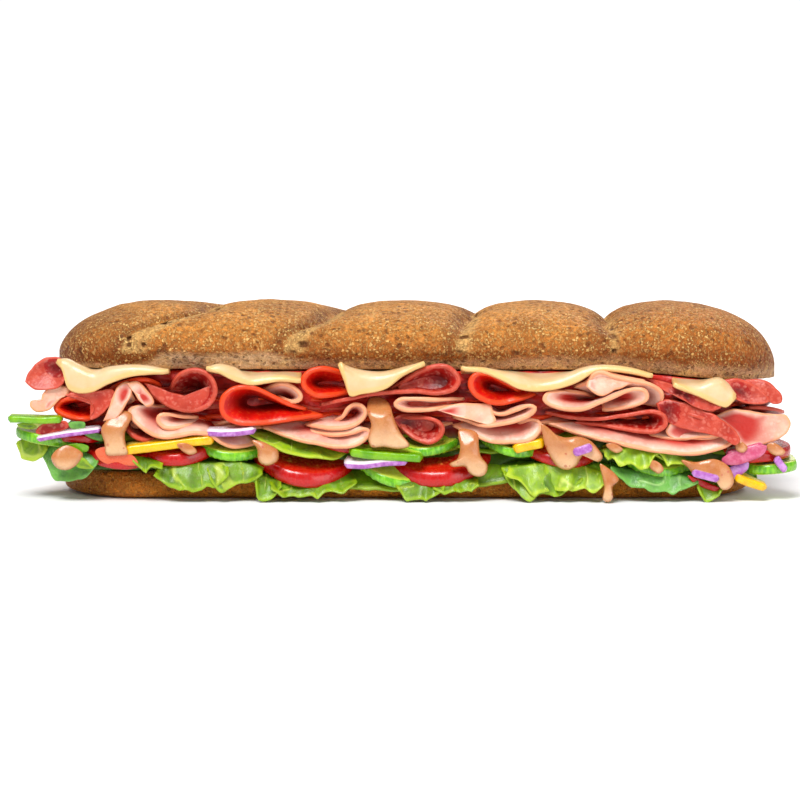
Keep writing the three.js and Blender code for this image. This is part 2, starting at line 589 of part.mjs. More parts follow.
const FLAPS = [
  { bed: [[48, 470], [70, 476], [98, 481]], top: [[42, 452], [68, 453], [97, 465]],
    low: [[44, 470], [60, 482], [96, 472]] },
  { bed: [[34, 462], [50, 468], [66, 474]], top: [[18, 446], [30, 445], [46, 452]],
    low: [[16, 452], [28, 463], [41, 461]] },
  { bed: [[136, 478], [148, 478], [162, 482]], top: [[134, 462], [146, 466], [160, 468]],
    low: [[138, 474], [148, 470], [161, 472]] },
  { bed: [[158, 482], [212, 485], [262, 494]], top: [[160, 473], [205, 473], [255, 474]],
    low: [[156, 480], [175, 489], [205, 486], [250, 487]] },
  { bed: [[258, 494], [300, 497], [345, 498]], top: [[258, 484], [300, 492], [352, 488]],
    low: [[256, 498], [270, 501], [285, 495], [345, 491]] },
  { bed: [[400, 499], [440, 498], [478, 496]], top: [[402, 492], [440, 490], [474, 489]],
    low: [[402, 500], [432, 501], [474, 493]] },
  { bed: [[505, 491], [540, 484], [612, 488]], top: [[503, 472], [550, 470], [604, 476]],
    low: [[516, 500], [545, 497], [575, 489], [611, 497]] },
  { bed: [[615, 488], [655, 489], [695, 490]], top: [[618, 474], [655, 482], [694, 485]],
    low: [[620, 482], [655, 489], [695, 490]] },
  { bed: [[700, 491], [711, 492], [724, 494]], top: [[698, 488], [708, 490], [720, 492]],
    low: [[702, 500], [711, 500], [720, 494]] },
];

// Slivers that show only in part, fused to the piece they lie against.
const SLIVERS = [
  { host: "onion_1", shape: roundSlice, column: 76, row: 440.5, middle: -30, radius: 14, lean: -0.06, thick: 3.2 },
  { host: "green_pepper_2", shape: roundSlice, column: 338, row: 452, middle: -28, radius: 15, lean: -0.2,
    thick: 3.6 },
  { host: "cucumber_7", shape: strip, line: [[776, 458], [781, 465], [787, 472]], tall: 2.6, wide: 6,
    middle: -43.5 },
  { host: "ham_outer", shape: foldedSlice, thick: SALAMI, front: 44, line: [[124, 423], [128, 433], [138, 440],
    [150, 442], [160, 440]] },
];

// Piles of slices that show at the back rim, fused to the salad bed; `row` is the bed below them.
const BACK_PILES = [
  { column: 140, row: 478, radius: 17 },
  { column: 250, row: 490, radius: 20 },
  { column: 372, row: 498, radius: 20 },
  { column: 500, row: 491, radius: 20 },
  { column: 612, row: 488, radius: 18 },
];

const SAUCE = [
  { host: "ham_arch", back: 47.3, bulge: 2.4, rows: [[112, 421, 6], [114, 427, 13], [113, 438, 11], [114, 450, 9],
    [115, 455, 6]] },
  { host: "ham_fold_low", back: 48.4, bulge: 2.4, rows: [[380, 408, 8], [382, 420, 10], [385, 432, 12],
    [388, 442, 13], [389, 446, 8]] },
  { host: "ham_round", back: 47.6, bulge: 2.4, rows: [[468, 432, 8], [470, 445, 9], [472, 458, 11],
    [474, 468, 14], [478, 476, 7]] },
  { host: "ham_large", back: 49, bulge: 2.4, rows: [[564, 436, 12], [566, 446, 16], [568, 458, 14],
    [568, 466, 9], [568, 469, 5]] },
];

// ---------- assembly ----------

const LOOKS = {
  roll: { color: 0xaa7038, roughness: 0.75 },
  cheese: { color: 0xf8dc9c, roughness: 0.45 },
  ham: { color: 0xeeaa92, roughness: 0.5 },
  salami: { color: 0xc4505a, roughness: 0.5 },
  pepperoni: { color: 0xd8321c, roughness: 0.45 },
  tomato: { color: 0xd42a1e, roughness: 0.3 },
  cucumber: { color: 0x5c9a2c, roughness: 0.4 },
  green_pepper: { color: 0x8ac824, roughness: 0.35 },
  yellow_pepper: { color: 0xf6d22a, roughness: 0.35 },
  onion: { color: 0xc490d8, roughness: 0.35 },
  lettuce: { color: 0x7cba38, roughness: 0.45 },
};

// A disc or bar reaches `front`, so its middle lies one radius behind that.
function discOf(slice, thick, radius) {
  const size = slice.radius ?? radius;
  return { ...slice, thick: slice.thick ?? thick, radius: size, middle: size - slice.front };
}

const pieces = [];

function plan(name, look, make, weld = WELD) {
  pieces.push({ name, look, make, weld });
}

function planAll(list, look, shape, adapt = (entry) => entry) {
  list.forEach((entry) => {
    const spec = adapt(entry);
    plan(entry.name, look ?? entry.kind ?? entry.name.split("_")[0], (grow) => shape(spec, grow));
  });
}

planAll(CHEESES, "cheese", drapedSlice, (entry) => ({ ...entry, thick: CHEESE }));
planAll(MEATS, null, foldedSlice);
planAll(STRIPS, null, strip);
// A tomato slice with a cucumber slice on top, each sunk a little into what lies below.
function backPile({ column, row, radius }, grow) {
  const sunk = 0.5;
  let height = BED.thick / 2;
  let pile = null;
  [[TOMATO, 0, 1], [CUCUMBER, 20, 0.85]].forEach(([thick, aside, share]) => {
    const size = radius * share;
    const middleRow = row - (height + thick / 2 - sunk) / GRID;
    const slice = { column: column + aside, row: middleRow, thick, radius: size, middle: RIM_HALF - 1 - size };
    const solid = roundSlice(slice, grow);
    pile = pile ? pile.add(solid) : solid;
    height += thick - sunk;
  });
  return pile;
}

function saladBed(grow) {
  let bed = foldedSlice(BED, grow);
  FLAPS.forEach((flap) => {
    bed = bed.add(leafFlap(flap, grow));
  });
  BACK_PILES.forEach((pile) => {
    bed = bed.add(backPile(pile, grow));
  });
  return bed;
}

plan("salad_bed", "lettuce", saladBed, BED_WELD);
planAll(TOMATOES, "tomato", roundSlice, (entry) => discOf(entry, TOMATO, TOMATO_RADIUS));
planAll(CUCUMBERS, "cucumber", roundSlice, (entry) => discOf(entry, CUCUMBER, CUCUMBER_RADIUS));
planAll(LETTUCE_STRIPS, "lettuce", foldedSlice);
SLIVERS.forEach((sliver) => {
  const host = pieces.find((piece) => piece.name === sliver.host);
  const alone = host.make;
  host.make = (grow) => alone(grow).add(sliver.shape(sliver, grow));
});

function boxesMeet(a, b) {
  return [0, 1, 2].every((i) => a.min[i] <= b.max[i] && b.min[i] <= a.max[i]);
}

function largestBody(solid) {
  return solid.decompose().reduce((best, body) => (body.volume() > best.volume() ? body : best));
}

// Pieces earlier in the plan keep their shape; later ones give way to them.
function layOut(list) {
  const blockers = [{ host: "roll", solid: topHalf(GAP) }, { host: "roll", solid: bottomHalf(GAP) }];
  SAUCE.forEach((run) => blockers.push({ host: run.host, solid: sauceRun(run, GAP) }));
  const placed = [];
  for (const piece of list) {
    let body = piece.make(0);
    const size = body.volume();
    for (const blocker of blockers) {
      const near = boxesMeet(body.boundingBox(), blocker.solid.boundingBox());
      if (blocker.host !== piece.name && near) body = body.subtract(blocker.solid);
    }
    SAUCE.filter((run) => run.host === piece.name).forEach((run) => {
      body = body.add(sauceRun(run));
    });
    body = largestBody(body).simplify(piece.weld);
    if (body.volume() < size * SMALLEST_BODY) console.warn("much cut", piece.name, body.volume() / size);
    placed.push({ ...piece, body });
    blockers.push({ host: piece.name, solid: piece.make(GAP) });
  }
  return placed;
}

function meshOf(name, body, look) {
  const { vertProperties, triVerts, numProp } = body.getMesh();
  const positions = new Float32Array((vertProperties.length / numProp) * 3);
  for (let i = 0; i < positions.length / 3; i += 1) {
    for (let k = 0; k < 3; k += 1) positions[i * 3 + k] = vertProperties[i * numProp + k];
  }
  const geometry = new THREE.BufferGeometry();
  geometry.setAttribute("position", new THREE.BufferAttribute(positions, 3));
  geometry.setIndex(new THREE.BufferAttribute(new Uint32Array(triVerts), 1));
  geometry.computeVertexNormals();
  const material = new THREE.MeshStandardMaterial({ ...LOOKS[look], metalness: 0 });
  material.name = look;
  const mesh = new THREE.Mesh(geometry, material);
  mesh.name = name;
  return mesh;
}

const group = new THREE.Group();
group.name = "submarine_sandwich";
group.add(meshOf("bottom_bun", bottomHalf(), "roll"));
group.add(meshOf("top_bun", topHalf(), "roll"));
layOut(pieces).forEach(({ name, body, look }) => group.add(meshOf(name, body, look)));

// The origin sits at the middle of the bounding box, on the table.
const box = new THREE.Box3().setFromObject(group);
const shift = new THREE.Vector3((box.min.x + box.max.x) / 2, (box.min.y + box.max.y) / 2, box.min.z);
group.children.forEach((mesh) => mesh.geometry.translate(-shift.x, -shift.y, -shift.z));

export default group;
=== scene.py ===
"""Dresses the submarine sandwich: crust, folded meats, cheese, vegetables, leaves and sauce.

Shapes are worked out in millimetres on a side drawing of the sandwich's front rim, whose columns
count to the right and whose rows count down. Meshes are made in metres.
"""

from __future__ import annotations

import logging
import math
from dataclasses import dataclass, field, replace
from enum import Enum
from typing import Sequence

import bpy
import numpy as np
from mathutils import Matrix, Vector


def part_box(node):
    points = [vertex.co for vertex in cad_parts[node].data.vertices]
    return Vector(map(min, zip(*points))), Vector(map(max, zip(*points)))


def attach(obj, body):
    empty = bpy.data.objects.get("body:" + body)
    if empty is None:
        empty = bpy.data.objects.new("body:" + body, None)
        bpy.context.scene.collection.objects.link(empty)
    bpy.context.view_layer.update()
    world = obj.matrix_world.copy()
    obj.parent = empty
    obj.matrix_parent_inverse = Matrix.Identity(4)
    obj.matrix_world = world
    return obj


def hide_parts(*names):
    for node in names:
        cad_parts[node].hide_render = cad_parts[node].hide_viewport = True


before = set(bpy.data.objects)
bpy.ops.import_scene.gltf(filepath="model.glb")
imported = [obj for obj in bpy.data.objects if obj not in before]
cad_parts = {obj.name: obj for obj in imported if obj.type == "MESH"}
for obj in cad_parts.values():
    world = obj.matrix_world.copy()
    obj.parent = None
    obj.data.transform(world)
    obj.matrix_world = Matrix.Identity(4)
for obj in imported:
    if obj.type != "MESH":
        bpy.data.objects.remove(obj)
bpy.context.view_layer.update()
LOG = logging.getLogger("sandwich")
Array = np.ndarray
Spots = Sequence[tuple[float, float]]
Colour = tuple[float, float, float]
Socket = bpy.types.NodeSocket

# From the drawing's origin to the sandwich's, in millimetres.
HEEL_REACH = 142.9
HEEL_LOW, HEEL_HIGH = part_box("bottom_bun")
SHIFT = np.array([HEEL_LOW.x * 1000 + HEEL_REACH, (HEEL_LOW.y + HEEL_HIGH.y) * 500, HEEL_LOW.z * 1000])


def srgb(red: int, green: int, blue: int) -> Colour:
    """Turns a screen colour into the linear colour that shaders use.

    Args:
        red: Red from 0 to 255.
        green: Green from 0 to 255.
        blue: Blue from 0 to 255.

    Returns:
        The linear red, green and blue.
    """

    def linear(value: float) -> float:
        """Gives one linear channel."""
        share = value / 255
        return share / 12.92 if share <= 0.04045 else ((share + 0.055) / 1.055) ** 2.4

    return linear(red), linear(green), linear(blue)


# ---------- lay-out ----------


@dataclass(frozen=True)
class SideDrawing:
    """Turns places on the side drawing into places in the sandwich."""

    step: float = 0.42
    middle_column: float = 400.0
    table_row: float = 503.0
    rim_depth: float = 16.0
    rim_half: float = 46.0
    floor: float = 12.4
    top_level: float = 60.6
    cheese_room: float = 2.9
    back_drift: float = 7.0
    end_sag: float = 9.0
    sag_start: float = -134.0
    sag_length: float = 14.0
    back_lift: float = 1.0
    soft_bend: float = 0.1
    roof: Spots = ((-175, 54.6), (95, 54.4), (126, 51), (160, 48.6), (180, 48.6))
    ends: Spots = ((-162, 0.66), (-150, 0.82), (-132, 0.94), (-112, 1), (116, 1), (136, 0.95), (152, 0.84),
                   (164, 0.68))

    def across(self, column: float) -> float:
        """Gives the place along the roll of a drawing column."""
        return (column - self.middle_column) * self.step

    def up(self, row: float) -> float:
        """Gives the height of a drawing row."""
        return (self.table_row - row) * self.step

    def roof_at(self, x: Array) -> Array:
        """Gives the height of the top half's cut face."""
        return np.interp(x, *zip(*self.roof))

    def end_share(self, x: Array) -> Array:
        """Gives the share of the full depth that fillings keep near the ends."""
        return np.interp(x, *zip(*self.ends))

    def inner_half(self, x: Array) -> Array:
        """Gives the half depth that is pressed between the two halves."""
        return self.rim_half * self.end_share(x) - self.rim_depth

    def freedom(self, x: Array, y: Array) -> Array:
        """Gives how free a filling hangs, from 0 between the halves to 1 at the rim.

        Args:
            x: Places along the roll.
            y: Places across the roll.

        Returns:
            A number for each place.
        """
        share = (np.abs(y) - self.inner_half(x)) / self.rim_depth
        lifted = 0.5 * (share + np.sqrt(share**2 + self.soft_bend**2))
        return 1 - 0.5 * ((1 - lifted) + np.sqrt((1 - lifted) ** 2 + self.soft_bend**2))

    def settle(self, x: Array, y: Array, level: Array) -> Array:
        """Moves drawing points to their place, pressed inside and free at the rims.

        Args:
            x: Places along the roll.
            y: Places across the roll, negative at the front.
            level: Heights on the drawing.

        Returns:
            Points with a last axis of three.
        """
        inner = self.inner_half(x)
        outside = self.freedom(x, y)
        back = np.clip((y + inner) / (2 * inner + self.rim_depth), 0, 1)
        room = self.roof_at(x) - self.cheese_room - self.floor
        pressed = self.floor + level * room / self.top_level
        lift = np.where(y > 0, self.back_lift * (1 + np.sin(x / 27)) * outside, 0)
        drift = self.back_drift * np.sin(x / 38 + 1) * back
        sag = self.end_sag * np.clip((self.sag_start - x) / self.sag_length, 0, 1) * back
        return np.stack([x + drift, y, pressed + (level - pressed) * outside + lift - sag], axis=-1)


DRAWING = SideDrawing()


def smooth_line(drawn: Spots, count: int) -> tuple[Array, Array]:
    """Draws an even, smooth line through drawing spots.

    Args:
        drawn: Columns and rows of the drawing.
        count: How many points to give.

    Returns:
        The places along the roll and the heights.
    """
    points = np.array([(DRAWING.across(c), DRAWING.up(r)) for c, r in drawn], float)
    padded = np.vstack([2 * points[0] - points[1], points, 2 * points[-1] - points[-2]])
    dense = []
    for i in range(1, len(padded) - 2):
        quad = padded[i - 1:i + 3]
        gaps = np.sqrt(np.linalg.norm(np.diff(quad, axis=0), axis=1))
        knots = np.concatenate([[0], np.cumsum(np.maximum(gaps, 1e-4))])
        t = np.linspace(knots[1], knots[2], 24, endpoint=False)[:, None]

        def between(a: Array, b: Array, k0: float, k1: float) -> Array:
            """Blends two points over a knot span."""
            return ((k1 - t) * a + (t - k0) * b) / (k1 - k0)

        a1 = between(quad[0], quad[1], knots[0], knots[1])
        a2 = between(quad[1], quad[2], knots[1], knots[2])
        a3 = between(quad[2], quad[3], knots[2], knots[3])
        b1 = between(a1, a2, knots[0], knots[2])
        b2 = between(a2, a3, knots[1], knots[3])
        dense.append(between(b1, b2, knots[1], knots[2]))
    line = np.vstack([*dense, points[-1:]])
    length = np.concatenate([[0], np.cumsum(np.linalg.norm(np.diff(line, axis=0), axis=1))])
    spots = np.linspace(0, length[-1], count)
    return np.interp(spots, length, line[:, 0]), np.interp(spots, length, line[:, 1])


def line_length(drawn: Spots) -> float:
    """Gives the length of a drawn line in millimetres."""
    x, z = smooth_line(drawn, 200)
    return float(np.hypot(np.diff(x), np.diff(z)).sum())


def tapered(crest: Array, hem: Array, length: float) -> Array:
    """Draws a hem up to its crest at both ends, so that a slice or leaf ends in points.

    Args:
        crest: Numbers along the crest.
        hem: Numbers along the hem.
        length: Share of the whole over which each end tapers.

    Returns:
        The new hem.
    """
    place = np.linspace(0, 1, len(crest))
    share = np.clip(np.minimum(place, 1 - place) / length, 0, 1)
    return crest + (hem - crest) * (0.12 + 0.88 * np.sqrt(share))


def soft_noise(points: Array, size: float, seed: int) -> Array:
    """Gives smooth noise between -1 and 1.

    Args:
        points: Points with a last axis of three.
        size: Size of a bump, in the points' unit.
        seed: Picks the pattern.

    Returns:
        One number for each point.
    """
    place = np.asarray(points, float) / size
    cell = np.floor(place).astype(np.int64)
    part = place - cell
    part = part * part * (3 - 2 * part)
    total = np.zeros(place.shape[:-1])
    for corner in range(8):
        step = np.array([corner & 1, corner >> 1 & 1, corner >> 2 & 1])
        key = ((cell + step) * np.array([73856093, 19349663, 83492791])).sum(axis=-1) + seed * 9176741
        key = (key ^ (key >> 13)) * 1274126177 & 0x7FFFFFFF
        key = (key ^ (key >> 15)) & 0xFFFF
        weight = np.prod(np.where(step == 1, part, 1 - part), axis=-1)
        total += weight * (key / 32767.5 - 1)
    return total


# ---------- meshes ----------


@dataclass
class Body:
    """A closed mesh in millimetres with numbers kept at its points."""

    points: Array
    faces: list[Array]
    marks: dict[str, Array] = field(default_factory=dict)

    def piece(self, name: str, material: bpy.types.Material, nodes: Sequence[str], slot: str) -> None:
        """Makes the piece, which rides on the sandwich.

        Args:
            name: Name of the piece.
            material: Its finish.
            nodes: The solids that it stands for.
            slot: Not used.
        """
        mesh = bpy.data.meshes.new(name)
        mesh.vertices.add(len(self.points))
        mesh.vertices.foreach_set("co", ((self.points + SHIFT) / 1000).astype(np.float32).ravel())
        sizes = np.concatenate([np.full(len(face), face.shape[1]) for face in self.faces])
        mesh.loops.add(int(sizes.sum()))
        corners = np.concatenate([face.ravel() for face in self.faces])
        mesh.loops.foreach_set("vertex_index", corners.astype(np.int32))
        mesh.polygons.add(len(sizes))
        starts = np.concatenate([[0], np.cumsum(sizes)[:-1]])
        mesh.polygons.foreach_set("loop_start", starts.astype(np.int32))
        mesh.update(calc_edges=True)
        mesh.validate()
        mesh.shade_smooth()
        for label, mark in self.marks.items():
            layer = mesh.attributes.new(label, "FLOAT", "POINT")
            layer.data.foreach_set("value", np.asarray(mark, np.float32))
        mesh.materials.append(material)
        made = bpy.data.objects.new(name, mesh)
        bpy.context.scene.collection.objects.link(made)
        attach(made, "root")
        if nodes:
            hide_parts(*nodes)
        LOG.info("%s: %d faces", name, len(sizes))


def grid_faces(rows: int, columns: int, start: int, flip: bool) -> Array:
    """Gives the four-sided faces of a grid of points.

    Args:
        rows: Rows of points.
        columns: Columns of points.
        start: Number of the first point.
        flip: Whether the faces look the other way.

    Returns:
        Point numbers, four for each face.
    """
    number = np.arange(rows * columns).reshape(rows, columns) + start
    a, b, c, d = number[:-1, :-1], number[1:, :-1], number[1:, 1:], number[:-1, 1:]
    order = (a, d, c, b) if flip else (a, b, c, d)
    return np.stack(order, axis=-1).reshape(-1, 4)


def normals_of(grid: Array) -> Array:
    """Gives the normals of a grid of points."""
    way = np.cross(np.gradient(grid, axis=0), np.gradient(grid, axis=1))
    return way / np.maximum(np.linalg.norm(way, axis=-1, keepdims=True), 1e-9)


# How far the rim of a sheet rises and reaches out, in three steps round its edge.
EDGE_STEPS = ((0.78, 0.62), (0.0, 1.0), (-0.78, 0.62))


def thickened(grid: Array, half: Array | float, marks: dict[str, Array], bulge: float = 0.55) -> Body:
    """Turns a grid of points into a sheet with rounded edges.

    Args:
        grid: Rows by columns of points on the middle of the sheet.
        half: Half the thickness, one number or one for each point.
        marks: Numbers for each point of the grid.
        bulge: How far the edges round out, as a share of half the thickness.

    Returns:
        The closed sheet, with the distance from its edge as the mark edge and its side as the mark side.
    """
    rows, columns = grid.shape[:2]
    half = np.broadcast_to(np.asarray(half, float), (rows, columns))
    normal = normals_of(grid)
    ring = ([(0, c) for c in range(columns)] + [(r, columns - 1) for r in range(1, rows)]
            + [(rows - 1, c) for c in range(columns - 2, -1, -1)] + [(r, 0) for r in range(rows - 2, 0, -1)])
    r_at, c_at = np.array(ring).T
    inside = grid[np.clip(r_at, 1, rows - 2), np.clip(c_at, 1, columns - 2)]
    edge_normal = normal[r_at, c_at]
    out = grid[r_at, c_at] - inside
    out -= (out * edge_normal).sum(axis=-1, keepdims=True) * edge_normal
    out /= np.maximum(np.linalg.norm(out, axis=-1, keepdims=True), 1e-9)
    edge_half = half[r_at, c_at][:, None]
    rims = [grid[r_at, c_at] + edge_half * (rise * edge_normal + bulge * reach * out)
            for rise, reach in EDGE_STEPS]
    points = np.vstack([(grid + normal * half[..., None]).reshape(-1, 3),
                        (grid - normal * half[..., None]).reshape(-1, 3), *rims])
    size = rows * columns
    top_ring = r_at * columns + c_at
    rims_at = [2 * size + k * len(ring) + np.arange(len(ring)) for k in range(len(EDGE_STEPS))]
    rings = [top_ring, *rims_at, top_ring + size]
    faces = [grid_faces(rows, columns, 0, False), grid_faces(rows, columns, size, True)]
    for a, b in zip(rings, rings[1:]):
        faces.append(np.stack([a, np.roll(a, -1), np.roll(b, -1), b], axis=-1))
    steps = [np.cumsum(np.linalg.norm(np.diff(grid, axis=way), axis=-1), axis=way) for way in (0, 1)]
    down = np.concatenate([np.zeros((1, columns)), steps[0]])
    side = np.concatenate([np.zeros((rows, 1)), steps[1]], axis=1)
    edge = np.minimum(np.minimum(down, down[-1:] - down), np.minimum(side, side[:, -1:] - side))
    kept = {"edge": edge, **marks}
    spread = {name: np.concatenate([mark.ravel(), mark.ravel(), np.tile(mark[r_at, c_at], 3)])
              for name, mark in kept.items()}
    spread["side"] = np.concatenate([np.ones(size), -np.ones(size), np.repeat([0.5, 0, -0.5], len(ring))])
    return Body(points, faces, spread)


def lofted(rings: Array, marks: dict[str, Array]) -> Body:
    """Joins rings of points into a closed body with pointed fan ends.

    Args:
        rings: Rings by points around by three.
        marks: Numbers for each ring point.

    Returns:
        The closed body.
    """
    count, around = rings.shape[:2]
    number = np.arange(count * around).reshape(count, around)
    following = np.roll(number, -1, axis=1)
    faces = [np.stack([number[:-1], following[:-1], following[1:], number[1:]], axis=-1).reshape(-1, 4)]
    hubs = np.stack([rings[0].mean(axis=0), rings[-1].mean(axis=0)])
    first, last = count * around, count * around + 1
    faces.append(np.stack([np.full(around, first), following[0], number[0]], axis=-1))
    faces.append(np.stack([np.full(around, last), number[-1], following[-1]], axis=-1))
    points = np.vstack([rings.reshape(-1, 3), hubs])
    spread = {name: np.concatenate([mark.ravel(), [mark[0].mean(), mark[-1].mean()]])
              for name, mark in marks.items()}
    body = Body(points, faces, spread)
    a, b, c, d = points[faces[0]].swapaxes(0, 1)
    if (a * np.cross(b, c)).sum() + (a * np.cross(c, d)).sum() < 0:
        body.faces = [face[:, ::-1] for face in faces]
    return body


# ---------- finishes ----------


class Effect(Enum):
    """The effects that several finishes share."""

    MOTTLE = "mottle"
    FLECKS = "flecks"
    EDGE_BAND = "edge_band"
    STREAKS = "streaks"


class Bench:
    """Places shader nodes in a tree and wires them."""

    def __init__(self, tree: bpy.types.NodeTree) -> None:
        """Keeps the tree to work on."""
        self.tree = tree
        self.spot: Socket | None = None

    def node(self, kind: str, settings: dict | None = None, inputs: dict | None = None) -> bpy.types.Node:
        """Adds a node.

        Args:
            kind: Its type.
            settings: Properties to set.
            inputs: Sockets by name or number, each with a value or a socket to wire from.

        Returns:
            The new node.
        """
        made = self.tree.nodes.new(kind)
        for name, value in (settings or {}).items():
            setattr(made, name, value)
        for name, value in (inputs or {}).items():
            self.feed(made.inputs[name], value)
        return made

    def feed(self, socket: Socket, value: object) -> None:
        """Wires a socket or sets its value.

        Args:
            socket: The socket to feed.
            value: A socket to wire from, a number or a colour.
        """
        if isinstance(value, Socket):
            self.tree.links.new(value, socket)
        elif socket.type == "RGBA" and len(value) == 3:
            socket.default_value = (*value, 1.0)
        else:
            socket.default_value = value

    def blend(self, share: object, first: object, second: object) -> Socket:
        """Mixes two colours by a share."""
        return self.node("ShaderNodeMix", {"data_type": "RGBA"}, {0: share, 6: first, 7: second}).outputs[2]

    def maths(self, way: str, first: object, second: object) -> Socket:
        """Works out two numbers."""
        return self.node("ShaderNodeMath", {"operation": way}, {0: first, 1: second}).outputs[0]

    def times(self, first: object, second: object) -> Socket:
        """Multiplies two numbers."""
        return self.maths("MULTIPLY", first, second)

    def plus(self, first: object, second: object) -> Socket:
        """Adds two numbers."""
        return self.maths("ADD", first, second)

    def tint(self, colour: object, mask: object, share: object, new: object) -> Socket:
        """Lays a new colour over a colour by a share of a mask."""
        return self.blend(self.times(mask, share), colour, new)

    def between(self, value: object, low: object, high: object, first: float = 0.0,
                last: float = 1.0) -> Socket:
        """Maps a number from one span to another, smoothly.

        Args:
            value: The number.
            low: Where the first span starts.
            high: Where the first span ends.
            first: Where the second span starts.
            last: Where the second span ends.

        Returns:
            The mapped number.
        """
        return self.node("ShaderNodeMapRange", {"interpolation_type": "SMOOTHSTEP"},
                         {"Value": value, "From Min": low, "From Max": high, "To Min": first,
                          "To Max": last}).outputs[0]

    def noise(self, place: object, scale: object, detail: float, roughness: object = 0.5) -> bpy.types.Node:
        """Adds soft noise."""
        return self.node("ShaderNodeTexNoise", {}, {"Vector": place, "Scale": scale, "Detail": detail,
                                                    "Roughness": roughness})

    def mark(self, name: str) -> Socket:
        """Reads a number kept at the mesh's points."""
        return self.node("ShaderNodeAttribute", {"attribute_name": name}).outputs["Fac"]

    def place(self) -> Socket:
        """Gives the place on the object in metres."""
        self.spot = self.node("ShaderNodeTexCoord").outputs["Object"] if self.spot is None else self.spot
        return self.spot

    def axis(self, number: int) -> Socket:
        """Gives the place along one axis in metres."""
        return self.node("ShaderNodeSeparateXYZ", {}, {0: self.place()}).outputs[number]

    def mask(self, effect: Effect, **values: object) -> Socket:
        """Places a shared effect with its own values."""
        return self.node("ShaderNodeGroup", {"node_tree": SHELF.groups[effect]},
                         {"Vector": self.place(), **values}).outputs["Mask"]


class EffectShelf:
    """Builds each shared effect once."""

    def __init__(self) -> None:
        """Builds the node groups."""
        self.groups = {Effect.MOTTLE: self._mottle(), Effect.FLECKS: self._flecks(),
                       Effect.EDGE_BAND: self._edge_band(), Effect.STREAKS: self._streaks()}

    @staticmethod
    def _open(effect: Effect, **numbers: float) -> tuple[Bench, bpy.types.NodeOutputs, Socket]:
        """Starts a group with a vector, some numbers and one output.

        Args:
            effect: The effect that it makes.
            numbers: Input names and their usual values.

        Returns:
            The group's bench, what it is given and the socket that takes its mask.
        """
        group = bpy.data.node_groups.new(effect.value, "ShaderNodeTree")
        group.interface.new_socket("Vector", in_out="INPUT", socket_type="NodeSocketVector")
        for label, value in numbers.items():
            socket = group.interface.new_socket(label, in_out="INPUT", socket_type="NodeSocketFloat")
            socket.default_value = value
        group.interface.new_socket("Mask", in_out="OUTPUT", socket_type="NodeSocketFloat")
        bench = Bench(group)
        return bench, bench.node("NodeGroupInput").outputs, bench.node("NodeGroupOutput").inputs["Mask"]

    def _mottle(self) -> bpy.types.NodeTree:
        """Builds soft patches of a given size and contrast.

        Returns:
            The group.
        """
        bench, given, mask = self._open(Effect.MOTTLE, Scale=200.0, Low=0.4, High=0.6, Rough=0.5)
        noise = bench.noise(given["Vector"], given["Scale"], 3.0, given["Rough"])
        bench.feed(mask, bench.between(noise.outputs[0], given["Low"], given["High"]))
        return bench.tree

    def _flecks(self) -> bpy.types.NodeTree:
        """Builds scattered flecks with ragged outlines.

        Returns:
            The group.
        """
        bench, given, mask = self._open(Effect.FLECKS, Scale=300.0, Size=0.3, Softness=0.1, Waver=0.3)
        bend = bench.noise(given["Vector"], given["Scale"], 1.0)
        pushed = bench.node("ShaderNodeVectorMath", {"operation": "SCALE"}, {0: bend.outputs["Color"]})
        bench.feed(pushed.inputs["Scale"], bench.maths("DIVIDE", given["Waver"], given["Scale"]))
        moved = bench.node("ShaderNodeVectorMath", {"operation": "ADD"},
                           {0: given["Vector"], 1: pushed.outputs[0]})
        cells = bench.node("ShaderNodeTexVoronoi", {}, {"Vector": moved.outputs[0], "Scale": given["Scale"]})
        odd = bench.node("ShaderNodeSeparateColor", {}, {0: cells.outputs["Color"]})
        size = bench.times(given["Size"], odd.outputs[0])
        far = bench.plus(size, given["Softness"])
        bench.feed(mask, bench.between(cells.outputs["Distance"], size, far, 1.0, 0.0))
        return bench.tree

    def _edge_band(self) -> bpy.types.NodeTree:
        """Builds a band of wavering width along a sheet's edge.

        Returns:
            The group.
        """
        bench, given, mask = self._open(Effect.EDGE_BAND, Distance=0.0, Width=2.0, Softness=1.0, Scale=150.0)
        noise = bench.noise(given["Vector"], given["Scale"], 2.0)
        wide = bench.times(given["Width"], bench.plus(noise.outputs[0], 0.5))
        far = bench.plus(wide, given["Softness"])
        bench.feed(mask, bench.between(given["Distance"], wide, far, 1.0, 0.0))
        return bench.tree

    def _streaks(self) -> bpy.types.NodeTree:
        """Builds patches drawn out along one direction.

        Returns:
            The group.
        """
        bench, given, mask = self._open(Effect.STREAKS, Scale=200.0, Along=0.2, Low=0.4, High=0.6)
        stretch = bench.node("ShaderNodeCombineXYZ", {}, {0: given["Along"], 1: 1.0, 2: 1.0})
        drawn = bench.node("ShaderNodeVectorMath", {"operation": "MULTIPLY"},
                           {0: given["Vector"], 1: stretch.outputs[0]})
        noise = bench.noise(drawn.outputs[0], given["Scale"], 4.0)
        bench.feed(mask, bench.between(noise.outputs[0], given["Low"], given["High"]))
        return bench.tree


SHELF = EffectShelf()


